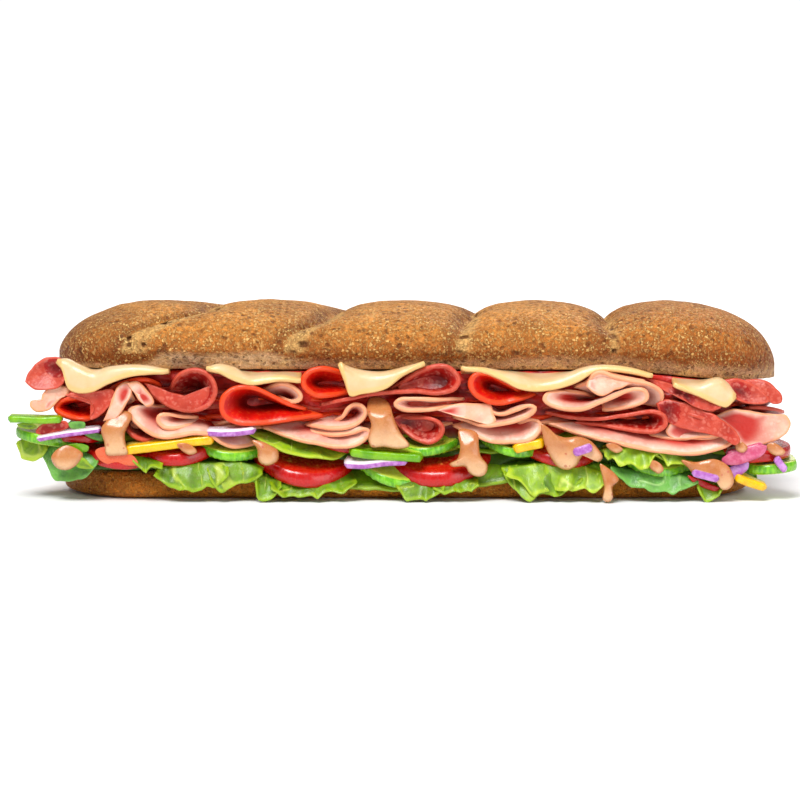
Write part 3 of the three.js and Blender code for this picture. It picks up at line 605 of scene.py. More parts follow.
@dataclass(frozen=True)
class Surface:
    """Plain numbers of a shader that are the same all over it."""

    roughness: float = 0.45
    see_in: float = 0.0
    see_in_depth: float = 0.002
    see_in_reach: Colour = (1.0, 0.45, 0.3)
    specular: float = 0.5
    coat: float = 0.0
    coat_roughness: float = 0.12
    bump: float = 0.3
    bump_depth: float = 0.0003

    def uneven(self, bench: Bench, fine: Socket, less: float, more: float) -> Socket:
        """Gives a roughness that changes with a fine pattern."""
        return bench.between(fine, 0.0, 1.0, self.roughness - less, self.roughness + more)

    def finish(self, bench: Bench, colour: Socket, height: Socket | None,
               roughness: Socket | None = None) -> None:
        """Adds the shader to a material.

        Args:
            bench: The material's bench.
            colour: The surface colour.
            height: Relief, or nothing.
            roughness: Roughness that changes over the surface, or nothing.
        """
        shader = bench.node("ShaderNodeBsdfPrincipled", {}, {
            "Base Color": colour, "Roughness": self.roughness if roughness is None else roughness,
            "Subsurface Weight": self.see_in, "Subsurface Scale": self.see_in_depth,
            "Subsurface Radius": self.see_in_reach, "Specular IOR Level": self.specular,
            "Coat Weight": self.coat, "Coat Roughness": self.coat_roughness})
        if height is not None:
            bump = bench.node("ShaderNodeBump", {}, {"Strength": self.bump, "Distance": self.bump_depth,
                                                     "Height": height})
            bench.feed(shader.inputs["Normal"], bump.outputs[0])
        out = bench.node("ShaderNodeOutputMaterial")
        bench.feed(out.inputs["Surface"], shader.outputs[0])


def new_material(name: str) -> tuple[bpy.types.Material, Bench]:
    """Starts an empty material.

    Args:
        name: Its name.

    Returns:
        The material and its bench.
    """
    material = bpy.data.materials.new(name)
    material.use_nodes = True
    material.node_tree.nodes.clear()
    return material, Bench(material.node_tree)


@dataclass(frozen=True)
class MeatFinish:
    """Sliced meat: a mottled body, fat flecks, a paler or brighter edge and painted shade that darkens it
    away from its edges, most on the sides turned into a fold.
    """

    name: str
    lean: Colour
    deep: Colour
    fat: Colour
    edge: Colour
    fleck_scale: float
    fleck_size: float
    fat_share: float
    edge_width: float
    edge_share: float
    shade_share: float
    surface: Surface
    shade_start: float = 1.5
    shade_end: float = 13.0

    def make(self) -> bpy.types.Material:
        """Builds the material.

        Returns:
            The material.
        """
        material, bench = new_material(self.name)
        patches = bench.mask(Effect.MOTTLE, Scale=110.0, Low=0.35, High=0.65)
        edge = bench.mark("edge")
        body = bench.tint(self.lean, patches, 0.35, self.deep)
        fine = bench.mask(Effect.MOTTLE, Scale=900.0, Low=0.3, High=0.75, Rough=0.6)
        flecks = bench.mask(Effect.FLECKS, Scale=self.fleck_scale, Size=self.fleck_size, Softness=0.3,
                            Waver=1.2)
        marble = bench.mask(Effect.MOTTLE, Scale=self.fleck_scale * 0.8, Low=0.5, High=0.72, Rough=0.7)
        share = bench.times(bench.maths("MAXIMUM", flecks, marble), self.fat_share)
        share = bench.times(share, bench.plus(bench.times(fine, 0.4), 0.6))
        body = bench.blend(share, body, self.fat)
        # Painted shade: the meat darkens toward its deep colour away from its edges, most on the sides that
        # face into a fold.
        inside = bench.between(bench.times(bench.mark("side"), bench.mark("turned")), -0.3, 0.6, 0.25)
        depth = bench.between(edge, self.shade_start, self.shade_end, 0.0, self.shade_share)
        body = bench.tint(body, depth, inside, self.deep)
        band = bench.mask(Effect.EDGE_BAND, Distance=edge, Width=self.edge_width, Softness=0.8)
        colour = bench.tint(body, band, self.edge_share, self.edge)
        height = bench.plus(bench.times(fine, 0.5), bench.times(flecks, 0.5))
        self.surface.finish(bench, colour, height, self.surface.uneven(bench, fine, 0.1, 0.12))
        return material


@dataclass(frozen=True)
class PackedFinish:
    """Filling far in between the slices: meat above, leaves below."""

    name: str
    meat: Colour
    shade: Colour
    leaf: Colour
    surface: Surface
    leaf_top: float = 0.024
    meat_low: float = 0.03

    def make(self) -> bpy.types.Material:
        """Builds the material.

        Returns:
            The material.
        """
        material, bench = new_material(self.name)
        patches = bench.mask(Effect.STREAKS, Scale=130.0, Along=0.35, Low=0.4, High=0.6)
        colour = bench.blend(patches, self.meat, self.shade)
        below = bench.between(bench.axis(2), self.leaf_top, self.meat_low, 1.0, 0.0)
        colour = bench.blend(below, colour, self.leaf)
        self.surface.finish(bench, colour, bench.mask(Effect.MOTTLE, Scale=500.0, Low=0.3, High=0.7))
        return material


@dataclass(frozen=True)
class SoftFinish:
    """Smooth soft food such as cheese or sauce, with faint patches, a few specks and a painted highlight on
    the low end of each drop.
    """

    name: str
    main: Colour
    patch: Colour
    edge: Colour
    speck: Colour
    speck_share: float
    surface: Surface
    # Colour of the painted highlight on the low end of a drop of sauce.
    drop: Colour = (0.9, 0.8, 0.6)

    def make(self) -> bpy.types.Material:
        """Builds the material.

        Returns:
            The material.
        """
        material, bench = new_material(self.name)
        patches = bench.mask(Effect.MOTTLE, Scale=120.0, Low=0.3, High=0.7)
        colour = bench.blend(patches, self.main, self.patch)
        band = bench.mask(Effect.EDGE_BAND, Distance=bench.mark("edge"), Width=0.9, Softness=1.6)
        colour = bench.tint(colour, band, 0.6, self.edge)
        # Painted highlight where the drop mark is high.
        colour = bench.tint(colour, bench.mark("drop"), 0.7, self.drop)
        specks = bench.mask(Effect.FLECKS, Scale=260.0, Size=0.13, Softness=0.1, Waver=0.4)
        colour = bench.tint(colour, specks, self.speck_share, self.speck)
        fine = bench.mask(Effect.MOTTLE, Scale=500.0, Low=0.2, High=0.8)
        self.surface.finish(bench, colour, fine, self.surface.uneven(bench, fine, 0.05, 0.08))
        return material


@dataclass(frozen=True)
class RoundFinish:
    """A round vegetable slice: skin round the side, flesh, a core and seeds on its faces."""

    name: str
    skin: Colour
    skin_dark: Colour
    flesh: Colour
    core: Colour
    seed: Colour
    pockets: float
    streaky: float
    surface: Surface

    def make(self) -> bpy.types.Material:
        """Builds the material.

        Returns:
            The material.
        """
        material, bench = new_material(self.name)
        fine = bench.mask(Effect.MOTTLE, Scale=600.0, Low=0.3, High=0.7)
        streak = bench.mask(Effect.STREAKS, Scale=260.0, Along=3.0, Low=0.35, High=0.65)
        skin = bench.tint(self.skin, streak, self.streaky, self.skin_dark)
        radial, turn = bench.mark("radial"), bench.mark("petal")
        face = bench.blend(bench.between(radial, 0.55, 0.75, 1.0, 0.0), self.flesh, self.core)
        gel = bench.times(bench.between(turn, 0.15, 0.5), bench.between(radial, 0.82, 0.7))
        gel = bench.times(gel, bench.between(radial, 0.2, 0.35))
        face = bench.tint(face, gel, self.pockets, self.skin_dark)
        seeds = bench.mask(Effect.FLECKS, Scale=420.0, Size=0.3, Softness=0.08, Waver=0.2)
        face = bench.tint(face, seeds, bench.times(gel, 0.8), self.seed)
        face = bench.tint(face, fine, 0.25, self.core)
        colour = bench.blend(bench.between(bench.mark("peel"), 0.3, 0.7), face, skin)
        rough = self.surface.uneven(bench, fine, 0.06, 0.12)
        self.surface.finish(bench, colour, bench.plus(fine, bench.times(gel, -0.8)), rough)
        return material


@dataclass(frozen=True)
class StripFinish:
    """A cut strip: shining skin in front, paler flesh where it was cut."""

    name: str
    skin: Colour
    skin_dark: Colour
    flesh: Colour
    line_scale: float
    surface: Surface

    def make(self) -> bpy.types.Material:
        """Builds the material.

        Returns:
            The material.
        """
        material, bench = new_material(self.name)
        streak = bench.mask(Effect.MOTTLE, Scale=self.line_scale, Low=0.35, High=0.7)
        fine = bench.mask(Effect.MOTTLE, Scale=800.0, Low=0.3, High=0.7)
        skin = bench.blend(streak, self.skin, self.skin_dark)
        colour = bench.blend(bench.between(bench.mark("peel"), 0.25, 0.6), self.flesh, skin)
        self.surface.finish(bench, colour, fine, self.surface.uneven(bench, fine, 0.05, 0.15))
        return material


@dataclass(frozen=True)
class LeafFinish:
    """A leaf: blade with patches of painted shade, paler veins, a bright rim and painted shade where it lies
    pressed between the halves.
    """

    name: str
    blade: Colour
    shade: Colour
    vein: Colour
    rim: Colour
    rim_share: float
    surface: Surface

    def make(self) -> bpy.types.Material:
        """Builds the material.

        Returns:
            The material.
        """
        material, bench = new_material(self.name)
        # Patches of painted shade, standing in for the shade among the crumples.
        patches = bench.mask(Effect.MOTTLE, Scale=210.0, Low=0.4, High=0.62, Rough=0.6)
        blade = bench.tint(self.blade, patches, 0.75, self.shade)
        veins = bench.times(bench.between(bench.mark("vein"), 0.5, 1.0), 0.62)
        lines = bench.mask(Effect.MOTTLE, Scale=420.0, Low=0.3, High=0.75, Rough=0.7)
        colour = bench.blend(veins, bench.tint(blade, lines, 0.2, self.vein), self.vein)
        band = bench.mask(Effect.EDGE_BAND, Distance=bench.mark("edge"), Width=0.7, Softness=1.4)
        colour = bench.tint(colour, band, self.rim_share, self.rim)
        height = bench.plus(bench.times(patches, 0.6), bench.times(lines, -0.5))
        height = bench.plus(height, bench.times(veins, 0.8))
        # Painted shade where the leaf lies pressed between the halves.
        colour = bench.blend(bench.between(bench.mark("hang"), 0.0, 0.35, 0.6, 0.0), colour, self.shade)
        self.surface.finish(bench, colour, height)
        return material


@dataclass(frozen=True)
class CrustFinish:
    """Baked bread: golden crown and browner sides, partly baked colour and partly painted light from above;
    pale streaks and grains, partly painted glints; dark specks; slash lips darkened partly as baked colour
    and partly as painted shade; pores and pits darkened as painted shade; and a crumbly cut edge.
    """

    name: str
    crown: Colour
    side: Colour
    dark: Colour
    pale: Colour
    crumb: Colour
    surface: Surface

    def make(self) -> bpy.types.Material:
        """Builds the material.

        Returns:
            The material.
        """
        material, bench = new_material(self.name)
        broad = bench.mask(Effect.MOTTLE, Scale=38.0, Low=0.38, High=0.66, Rough=0.6)
        fine = bench.mask(Effect.MOTTLE, Scale=560.0, Low=0.36, High=0.66, Rough=0.72)
        # Pale grains and streaks, partly grain of the crust and partly painted glints.
        grain_and_glints = bench.mask(Effect.FLECKS, Scale=700.0, Size=0.4, Softness=0.16, Waver=1.2)
        scratch_glints = bench.mask(Effect.STREAKS, Scale=800.0, Along=1.6, Low=0.5, High=0.66)
        sown = bench.mask(Effect.MOTTLE, Scale=90.0, Low=0.34, High=0.6)
        grain_and_glints = bench.times(grain_and_glints, bench.plus(bench.times(sown, 0.8), 0.2))
        grain_and_glints = bench.maths("MAXIMUM", grain_and_glints, bench.times(scratch_glints, 0.58))
        specks = bench.mask(Effect.FLECKS, Scale=300.0, Size=0.24, Softness=0.14, Waver=0.9)
        pores = bench.mask(Effect.FLECKS, Scale=420.0, Size=0.36, Softness=0.12, Waver=0.9)
        crease, raw = bench.mark("crease"), bench.mark("crumb")
        # Lighter on top and browner down the sides: partly baked colour, partly painted light from above.
        colour = bench.blend(bench.mark("crown"), self.side, self.crown)
        along = bench.axis(0)
        colour = bench.blend(bench.between(along, -0.145, -0.1, 0.4, 0.0), colour, self.dark)
        colour = bench.blend(bench.between(along, 0.05, 0.13, 0.0, 0.45), colour, self.side)
        # The slash lips are darkened partly as baked colour and partly as painted shade in the crease.
        for mask, share, new in ((broad, 0.35, self.dark), (bench.mark("lip"), 0.5, self.dark),
                                 (crease, 0.5, self.pale), (fine, 0.56, self.dark), (grain_and_glints, 0.64, self.pale),
                                 (specks, 0.55, self.dark)):
            colour = bench.tint(colour, mask, share, new)
        crumb = bench.blend(bench.between(along, -0.07, -0.02, 0.0, 0.55), self.crumb, self.side)
        fibre = bench.mask(Effect.STREAKS, Scale=420.0, Along=0.35, Low=0.42, High=0.66)
        crumb = bench.tint(bench.tint(crumb, fibre, 0.5, self.pale), fine, 0.28, self.dark)
        colour = bench.tint(colour, raw, 0.85, crumb)
        # Painted shade: the pores of the crumb and the pits in the torn crust are darkened.
        holes = bench.times(pores, raw)
        colour = bench.tint(colour, holes, 0.5, self.dark)
        colour = bench.tint(colour, bench.mark("pit"), 0.8, self.dark)
        relief = bench.plus(bench.times(fine, -0.5), grain_and_glints)
        for mask, share in ((specks, 0.6), (holes, 1.4)):
            relief = bench.maths("SUBTRACT", relief, bench.times(mask, share))
        self.surface.finish(bench, colour, relief, self.surface.uneven(bench, fine, 0.12, 0.1))
        return material


# ---------- shapes of fillings ----------


@dataclass(frozen=True)
class Shape:
    """A filling that builds its own mesh."""

    name: str

    def body(self, seed: int) -> Body:
        """Builds the mesh, in each filling's own way."""
        raise NotImplementedError


@dataclass(frozen=True)
class Detail:
    """How finely a folded slice is meshed."""

    step: float
    fewest: int
    depths: int
    middles: int


FINE = Detail(1.15, 20, 13, 8)
COARSE = Detail(2.0, 13, 7, 5)


@dataclass(frozen=True)
class FoldedSlice(Shape):
    """A thin slice folded along a drawn line, running through the roll from front to back."""

    line: Spots
    front: float
    thick: float = 2.2
    back: float = 0.0
    closing: float = 0.35
    toward: tuple[float, float] | None = None
    ripple: float = 0.35
    tight: float = 0.74
    detail: Detail = FINE

    def body(self, seed: int) -> Body:
        """Builds the slice.

        Args:
            seed: Picks its irregularities.

        Returns:
            The closed sheet.
        """
        columns = int(np.clip(line_length(self.line) / self.detail.step, self.detail.fewest, 150))
        x, z = smooth_line(self.line, columns)
        back = self.back or self.front
        place = np.linspace(-1, 1, columns)
        ends = DRAWING.end_share(x)
        spots = np.stack([x, z, np.zeros(columns)], axis=-1)
        reach = 0.9 * soft_noise(spots, 9, seed) + 0.45 * soft_noise(spots, 3.5, seed + 1)
        edge = (1 - 0.16 * np.abs(place) ** 3) * ends
        inner = DRAWING.inner_half(x)
        near = np.linspace(0, 1, self.detail.depths)[:, None]
        middle = np.linspace(0, 1, self.detail.middles)[1:-1, None]
        rows = np.vstack([-(self.front * edge + reach) * (1 - near) - inner * near,
                          -inner + 2 * inner * middle,
                          inner * (1 - near) + (back * edge + reach) * near])
        free = DRAWING.freedom(x, rows)
        inward = np.vstack([near, np.ones(middle.shape), 1 - near])
        share = 1 - self.closing * inward ** 0.7
        goal_x, goal_z = x.mean(), z.mean()
        if self.toward:
            goal_x, goal_z = DRAWING.across(self.toward[0]), DRAWING.up(self.toward[1])
        wide = goal_x + (x - goal_x) * share
        tall = goal_z + (z - goal_z) * share
        wave = np.stack([np.broadcast_to(x, rows.shape), rows, np.broadcast_to(z, rows.shape)], axis=-1)
        tall = tall + self.ripple * soft_noise(wave, 7, seed + 2) * free
        wide = wide + self.ripple * soft_noise(wave, 7, seed + 3) * free
        ragged = soft_noise(wave * (0, 1, 0), 7, seed + 6) + 0.5 * soft_noise(wave * (0, 1, 0), 2.6, seed + 7)
        wide = wide + 2.6 * ragged * np.abs(place) ** 6 * inward
        grid = DRAWING.settle(wide, rows, tall)
        half = self.thick / 2 * self.tight * (0.66 + 0.34 * free)
        half = half * (1 + 0.12 * soft_noise(wave, 5, seed + 4))
        inward_way = np.stack([goal_x - x, np.zeros(columns), goal_z - z], axis=-1)
        inward_way /= np.maximum(np.linalg.norm(inward_way, axis=-1, keepdims=True), 1e-6)
        # How far each side faces into the fold; the meat finish paints shade on the sides that face in.
        turned = np.clip((normals_of(grid) * inward_way).sum(axis=-1) * 2.5, -1, 1)
        rib = 1 - np.clip(np.abs(soft_noise(wave * (1, 0.2, 1), 6, seed + 5)) * 6, 0, 1)
        return thickened(grid, half, {"hang": free, "vein": rib, "turned": turned})


@dataclass(frozen=True)
class PackedFilling(Shape):
    """The crumpled filling that shows dark between the slices of one rim."""

    side: int
    left: float = -136.0
    right: float = 140.0
    low: float = 12.6
    depth: float = 5.7

    def body(self, seed: int) -> Body:
        """Builds the crumpled wall.

        Args:
            seed: Picks its crumples.

        Returns:
            The closed wall.
        """
        x = np.linspace(self.left, self.right, 200)
        share = np.linspace(0, 1, 32)[:, None]
        z = self.low + (DRAWING.roof_at(x) - 0.6 - self.low) * share
        x = np.broadcast_to(x, z.shape)
        flat = np.stack([x, np.zeros(z.shape), z * 2.6], axis=-1)
        crumple = 2.2 * np.abs(soft_noise(flat, 17, seed)) + 1.0 * np.abs(soft_noise(flat, 7, seed + 1))
        y = self.side * (DRAWING.inner_half(x) + self.depth - crumple * 2.0)
        grid = np.stack([x, y, z], axis=-1)
        return thickened(grid if self.side < 0 else grid[:, ::-1], 0.6, {})


@dataclass(frozen=True)
class DrapedSlice(Shape):
    """A slice under the top half whose hems hang down at the front and back."""

    top: Spots
    low: Spots
    front: float
    thick: float = 2.0
    drop: float = 1.2

    def body(self, seed: int) -> Body:
        """Builds the slice.

        Args:
            seed: Picks its irregularities.

        Returns:
            The closed sheet.
        """
        columns = int(np.clip(line_length(self.top) / 1.3, 30, 100))
        crest_x, crest_z = smooth_line(self.top, columns)
        hem_x, hem_z = smooth_line(self.low, columns)
        hem_x, hem_z = tapered(crest_x, hem_x, 0.16), tapered(crest_z, hem_z, 0.16)
        ends = DRAWING.end_share(crest_x)
        roof = DRAWING.roof_at(crest_x) - 0.4 - self.thick / 2
        rows = []
        for side in (-1, 1):
            hem = DRAWING.settle(hem_x, side * (self.front * ends + self.drop), hem_z)
            crest = DRAWING.settle(crest_x, side * self.front * ends, crest_z)
            ledge = np.stack([crest_x, side * DRAWING.inner_half(crest_x), roof], axis=-1)
            rows.append([hem, crest, ledge, ledge * (1, 0.5, 1)])
        place = self._rounded(np.array([*rows[0], *rows[1][::-1]]))
        place[..., 1] += soft_noise(place, 12, seed) * 0.5
        place[..., 2] += soft_noise(place * (1, 0.3, 1), 9, seed + 1) * 0.25
        return thickened(place, self.thick / 2, {})

    @staticmethod
    def _rounded(path: Array) -> Array:
        """Gives a smooth sheet through rows of points, bending softly at each row.

        Args:
            path: Rows of points, from the front hem to the back hem.

        Returns:
            Many rows of points.
        """
        lines = [path[0]]
        for i in range(1, len(path) - 1):
            before, here, after = path[i - 1], path[i], path[i + 1]
            bend = 0.45 if i in (1, len(path) - 2) else 0.3
            start, end = here + (before - here) * bend, here + (after - here) * bend * 0.6
            if i > len(path) / 2:
                start, end = here + (before - here) * bend * 0.6, here + (after - here) * bend
            for t in np.linspace(0, 1, 7):
                lines.append((1 - t) ** 2 * start + 2 * t * (1 - t) * here + t * t * end)
        lines.append(path[-1])
        filled = [lines[0]]
        for line in lines[1:]:
            gap = np.linalg.norm(line - filled[-1], axis=-1).mean()
            count = max(1, int(gap / 2.2))
            last = filled[-1]
            filled.extend(last + (line - last) * k / count for k in range(1, count + 1))
        return np.array(filled)


# Shares of the radius at which the rings of a disc's faces lie, and how much of its rim is peel.
DISC_RINGS = np.array([0.06, 0.16, 0.26, 0.36, 0.46, 0.56, 0.66, 0.75, 0.83, 0.89])
RIM_PEEL = np.array([0.1, 0.45, 1, 1, 1, 1, 1, 0.45, 0.1])


@dataclass(frozen=True)
class RoundSlice(Shape):
    """A round vegetable slice lying in the stack with its front edge on the drawing."""

    column: float
    row: float
    front: float
    radius: float
    thick: float
    lean: float = 0.0
    crinkle: int = 0
    lobes: int = 3
    middle: float | None = None
    around: int = 72

    def body(self, seed: int) -> Body:
        """Builds the slice.

        Args:
            seed: Picks its irregularities.

        Returns:
            The closed disc.
        """
        half = self.thick / 2
        middle = self.radius - self.front if self.middle is None else self.middle
        angle = np.linspace(0, 2 * np.pi, self.around, endpoint=False)
        inward = DISC_RINGS * self.radius
        turn = np.linspace(0, np.pi, len(RIM_PEEL))
        radial = np.concatenate([inward, self.radius - half * 0.42 * (1 - np.sin(turn)), inward[::-1]])
        flat = np.ones(len(inward))
        height = np.concatenate([flat * half, half * np.cos(turn), flat * -half])
        peel = np.concatenate([flat * 0, RIM_PEEL, flat * 0])
        ripple = 1 + 0.012 * np.sin(2 * angle + seed) + 0.01 * np.sin(5 * angle + seed * 1.7)
        if self.crinkle:
            ripple = ripple + 0.02 * np.sin(self.crinkle * angle)
        dx = radial[:, None] * np.cos(angle) * ripple
        dy = radial[:, None] * np.sin(angle) * ripple
        x = DRAWING.across(self.column) + dx
        level = DRAWING.up(self.row) + self.lean * dx + height[:, None]
        spots = np.stack([x, dy, level], axis=-1)
        level = level + 0.3 * soft_noise(spots, 8, seed)
        marks = {"radial": (radial / self.radius)[:, None], "peel": peel[:, None],
                 "petal": np.abs(np.sin(self.lobes * angle / 2 + seed))}
        return lofted(DRAWING.settle(x, middle + dy, level),
                      {name: np.broadcast_to(mark, dx.shape) for name, mark in marks.items()})


@dataclass(frozen=True)
class CutStrip(Shape):
    """A bar of pepper or onion along a drawn line."""

    line: Spots
    tall: float
    wide: float
    middle: float
    square: float = 5.0
    waver: float = 0.14
    banded: bool = False

    def body(self, seed: int) -> Body:
        """Builds the bar.

        Args:
            seed: Picks its irregularities.

        Returns:
            The closed bar.
        """
        steps = int(np.clip(line_length(self.line) / 1.2, 12, 80))
        x, z = smooth_line(self.line, steps)
        angle = np.linspace(0, 2 * np.pi, 28, endpoint=False)
        across = np.sign(np.cos(angle)) * np.abs(np.cos(angle)) ** (2 / self.square)
        over = np.sign(np.sin(angle)) * np.abs(np.sin(angle)) ** (2 / self.square)
        place = np.linspace(0, 1, steps)
        cap = np.clip(np.minimum(place, 1 - place) * line_length(self.line) / (self.tall * 0.45), 0, 1)
        size = (0.35 + 0.65 * np.sqrt(1 - (1 - cap) ** 2))[:, None]
        along = np.gradient(z) / np.maximum(np.hypot(np.gradient(x), np.gradient(z)), 1e-6)
        high = over * self.tall / 2 * size
        rows_x = x[:, None] - along[:, None] * high
        rows_y = self.middle + across * self.wide / 2 * size
        rows_z = z[:, None] + high
        spots = np.stack([rows_x, rows_y, rows_z], axis=-1)
        rows_y = rows_y + self.waver * soft_noise(spots, 6, seed)
        rows_z = rows_z + self.waver * soft_noise(spots, 5, seed + 1)
        rings = DRAWING.settle(rows_x, rows_y, rows_z)
        skin = np.clip((0.3 - over) * 3, 0, 1) if self.banded else np.clip(-across * 1.4, 0, 1)
        peel = np.broadcast_to(skin, rows_y.shape)
        return lofted(rings, {"peel": peel})


@dataclass(frozen=True)
class LeafFlap(Shape):
    """A thin leaf that leaves the bed, crests and hangs down over the rim."""

    bed: Spots
    top: Spots
    low: Spots
    front: float = 45.0
    thick: float = 1.1
    frill: float = 0.9
    pleat: float = 11.0
    depth: float = 2.0
    pale: float = 0.7
    kind: str = "lettuce"
    root: float = 28.0

    def body(self, seed: int) -> Body:
        """Builds the leaf.

        Args:
            seed: Picks its frills.

        Returns:
            The closed sheet.
        """
        length = line_length(self.top)
        columns = int(np.clip(length, 16, 160))
        lines = [smooth_line(line, columns) for line in (self.bed, self.top, self.low)]
        lines[2] = tuple(tapered(crest, hem, 0.2) for crest, hem in zip(lines[1], lines[2]))
        bed, top, low = (DRAWING.settle(x, -depth * DRAWING.end_share(x), z)
                         for (x, z), depth in zip(lines, (self.root, self.front - 1, self.front + 2)))
        crest = top + (top - low) * 0.12
        start = bed + (top - bed) * 0.9
        grid = [bed + (top - bed) * t for t in np.linspace(0, 0.88, 9)]
        grid += [(1 - t) ** 2 * start + 2 * t * (1 - t) * crest + t * t * low for t in np.linspace(0, 1, 24)]
        points = np.array(grid)
        hang = np.clip((np.arange(len(points)) - 8) / (len(points) - 9), 0, 1)[:, None]
        along = points * (1, 0.15, 0.15)
        crumpled = points * (1, 0.4, 0.65)
        ruffle = 1.9 * soft_noise(crumpled, 5.5, seed) + 1.0 * soft_noise(crumpled, 2.8, seed + 1)
        way = np.linspace(-0.5, 0.5, columns) * length * (1.2 - 0.4 * hang) + 2.4 * hang
        way = way + 3.4 * soft_noise(points, 8, seed + 8)
        turn = way / self.pleat * 2 * np.pi + seed
        pleat = np.sin(turn) + 0.4 * np.sin(way / self.pleat * 9.1 + seed * 2)
        points[..., 1] += (self.frill * ruffle * 0.9 - self.depth * (0.5 + 0.5 * pleat)) * hang ** 0.7
        points[..., 0] += self.depth * 0.35 * np.cos(turn) * hang
        points[..., 2] += self.depth * 0.3 * np.cos(turn + 1) * hang ** 1.5
        points[..., 2] += self.frill * 0.7 * soft_noise(along, 6, seed + 2) * (0.4 + hang)
        points[..., 2] += self.frill * 1.4 * soft_noise(along, 3.1, seed + 5) * hang ** 2
        points[..., 0] += 0.6 * soft_noise(points, 4, seed + 6) * hang
        slope = points * (1, 0.3, 0.5)
        slope[..., 0] += 0.3 * points[..., 2]
        rib = soft_noise(slope, 6.5, seed + 3)
        vein = 1 - np.clip(np.abs(rib) * 5, 0, 1)
        ridge = np.clip(0.5 + 0.5 * pleat, 0, 1) * hang ** 0.5
        vein = np.maximum(vein, ridge ** 3 * self.pale)
        half = self.thick / 2 * (1 + 0.5 * vein) * (1 - 0.35 * hang)
        return thickened(points, half, {"vein": vein, "hang": np.broadcast_to(hang, vein.shape)})


# Shares of the way from a patch's or a face's middle to its outline at which its rings lie.
PATCH_RINGS = np.array([0.06, 0.14, 0.24, 0.34, 0.44, 0.54, 0.63, 0.71, 0.78, 0.84, 0.89, 0.93, 0.965, 0.99,
                        1.0])
FACE_RINGS = np.array([0.05, 0.15, 0.25, 0.35, 0.45, 0.55, 0.65, 0.74, 0.82, 0.89, 0.94, 0.98, 1.0])


@dataclass(frozen=True)
class Patch(Shape):
    """Sauce or a small chip lying on the front, with its outline on the drawing.

    It is thickest near its low end, where sauce gathers into a drop.
    """

    outline: Spots
    back: float
    bulge: float = 3.6
    host: str = ""
    kind: str = "sauce"
    peel: float = 1.0
    radial: float = 0.6
    tuck: float = 0.0

    def body(self, seed: int) -> Body:
        """Builds the patch.

        Args:
            seed: Picks its irregularities.

        Returns:
            The closed body.
        """
        closed = [*self.outline[-2:], *self.outline, *self.outline[:2]]
        x, z = smooth_line(closed, 240)
        gap = np.hypot(x[60:] - x[30], z[60:] - z[30])
        first, last = 30, 60 + int(np.argmin(gap + np.where(np.arange(len(gap)) < 60, 1e3, 0)))
        x, z = x[first:last], z[first:last]
        spots = np.linspace(0, len(x) - 1, 60, endpoint=False)
        x, z = np.interp(spots, np.arange(len(x)), x), np.interp(spots, np.arange(len(z)), z)
        hub = np.array([x.mean(), z.mean()])
        scale = PATCH_RINGS[:, None]
        wide, tall = hub[0] + (x - hub[0]) * scale, hub[1] + (z - hub[1]) * scale
        dome = np.sqrt(np.clip(1 - scale ** 2.3, 0, 1))
        share = (tall - z.min()) / max(z.max() - z.min(), 1e-6)
        thick = self.bulge * dome * (1.1 - 0.75 * share)
        lean = -0.9 * (share - 0.5) + self.tuck * np.clip((share - 0.62) / 0.38, 0, 1) ** 1.5
        face = np.stack([wide, -self.back - thick + lean, tall], axis=-1)
        flat = face * (1, 0, 1)
        face[..., 1] += (soft_noise(flat, 4.5, seed) * 0.5 + soft_noise(flat, 2.4, seed) * 0.16) * dome
        rear = np.stack([wide, np.broadcast_to(-self.back + 1.6 * dome + lean, wide.shape), tall], axis=-1)
        rings = np.concatenate([face, rear[::-1][1:]])
        far = np.concatenate([1 - scale, (1 - scale)[::-1][1:]]) * np.hypot(x - hub[0], z - hub[1])
        none = np.zeros(far.shape)
        # The drop mark places the painted highlight on the lower part of the patch, away from its outline.
        drop = np.concatenate([share, share[::-1][1:]])
        drop = np.clip(1.15 - drop * 2.1, 0, 1) * np.clip(far / 1.6, 0, 1)
        return lofted(rings, {"edge": far, "peel": none + self.peel, "radial": none + self.radial,
                              "petal": none, "hang": none + 1, "drop": drop})


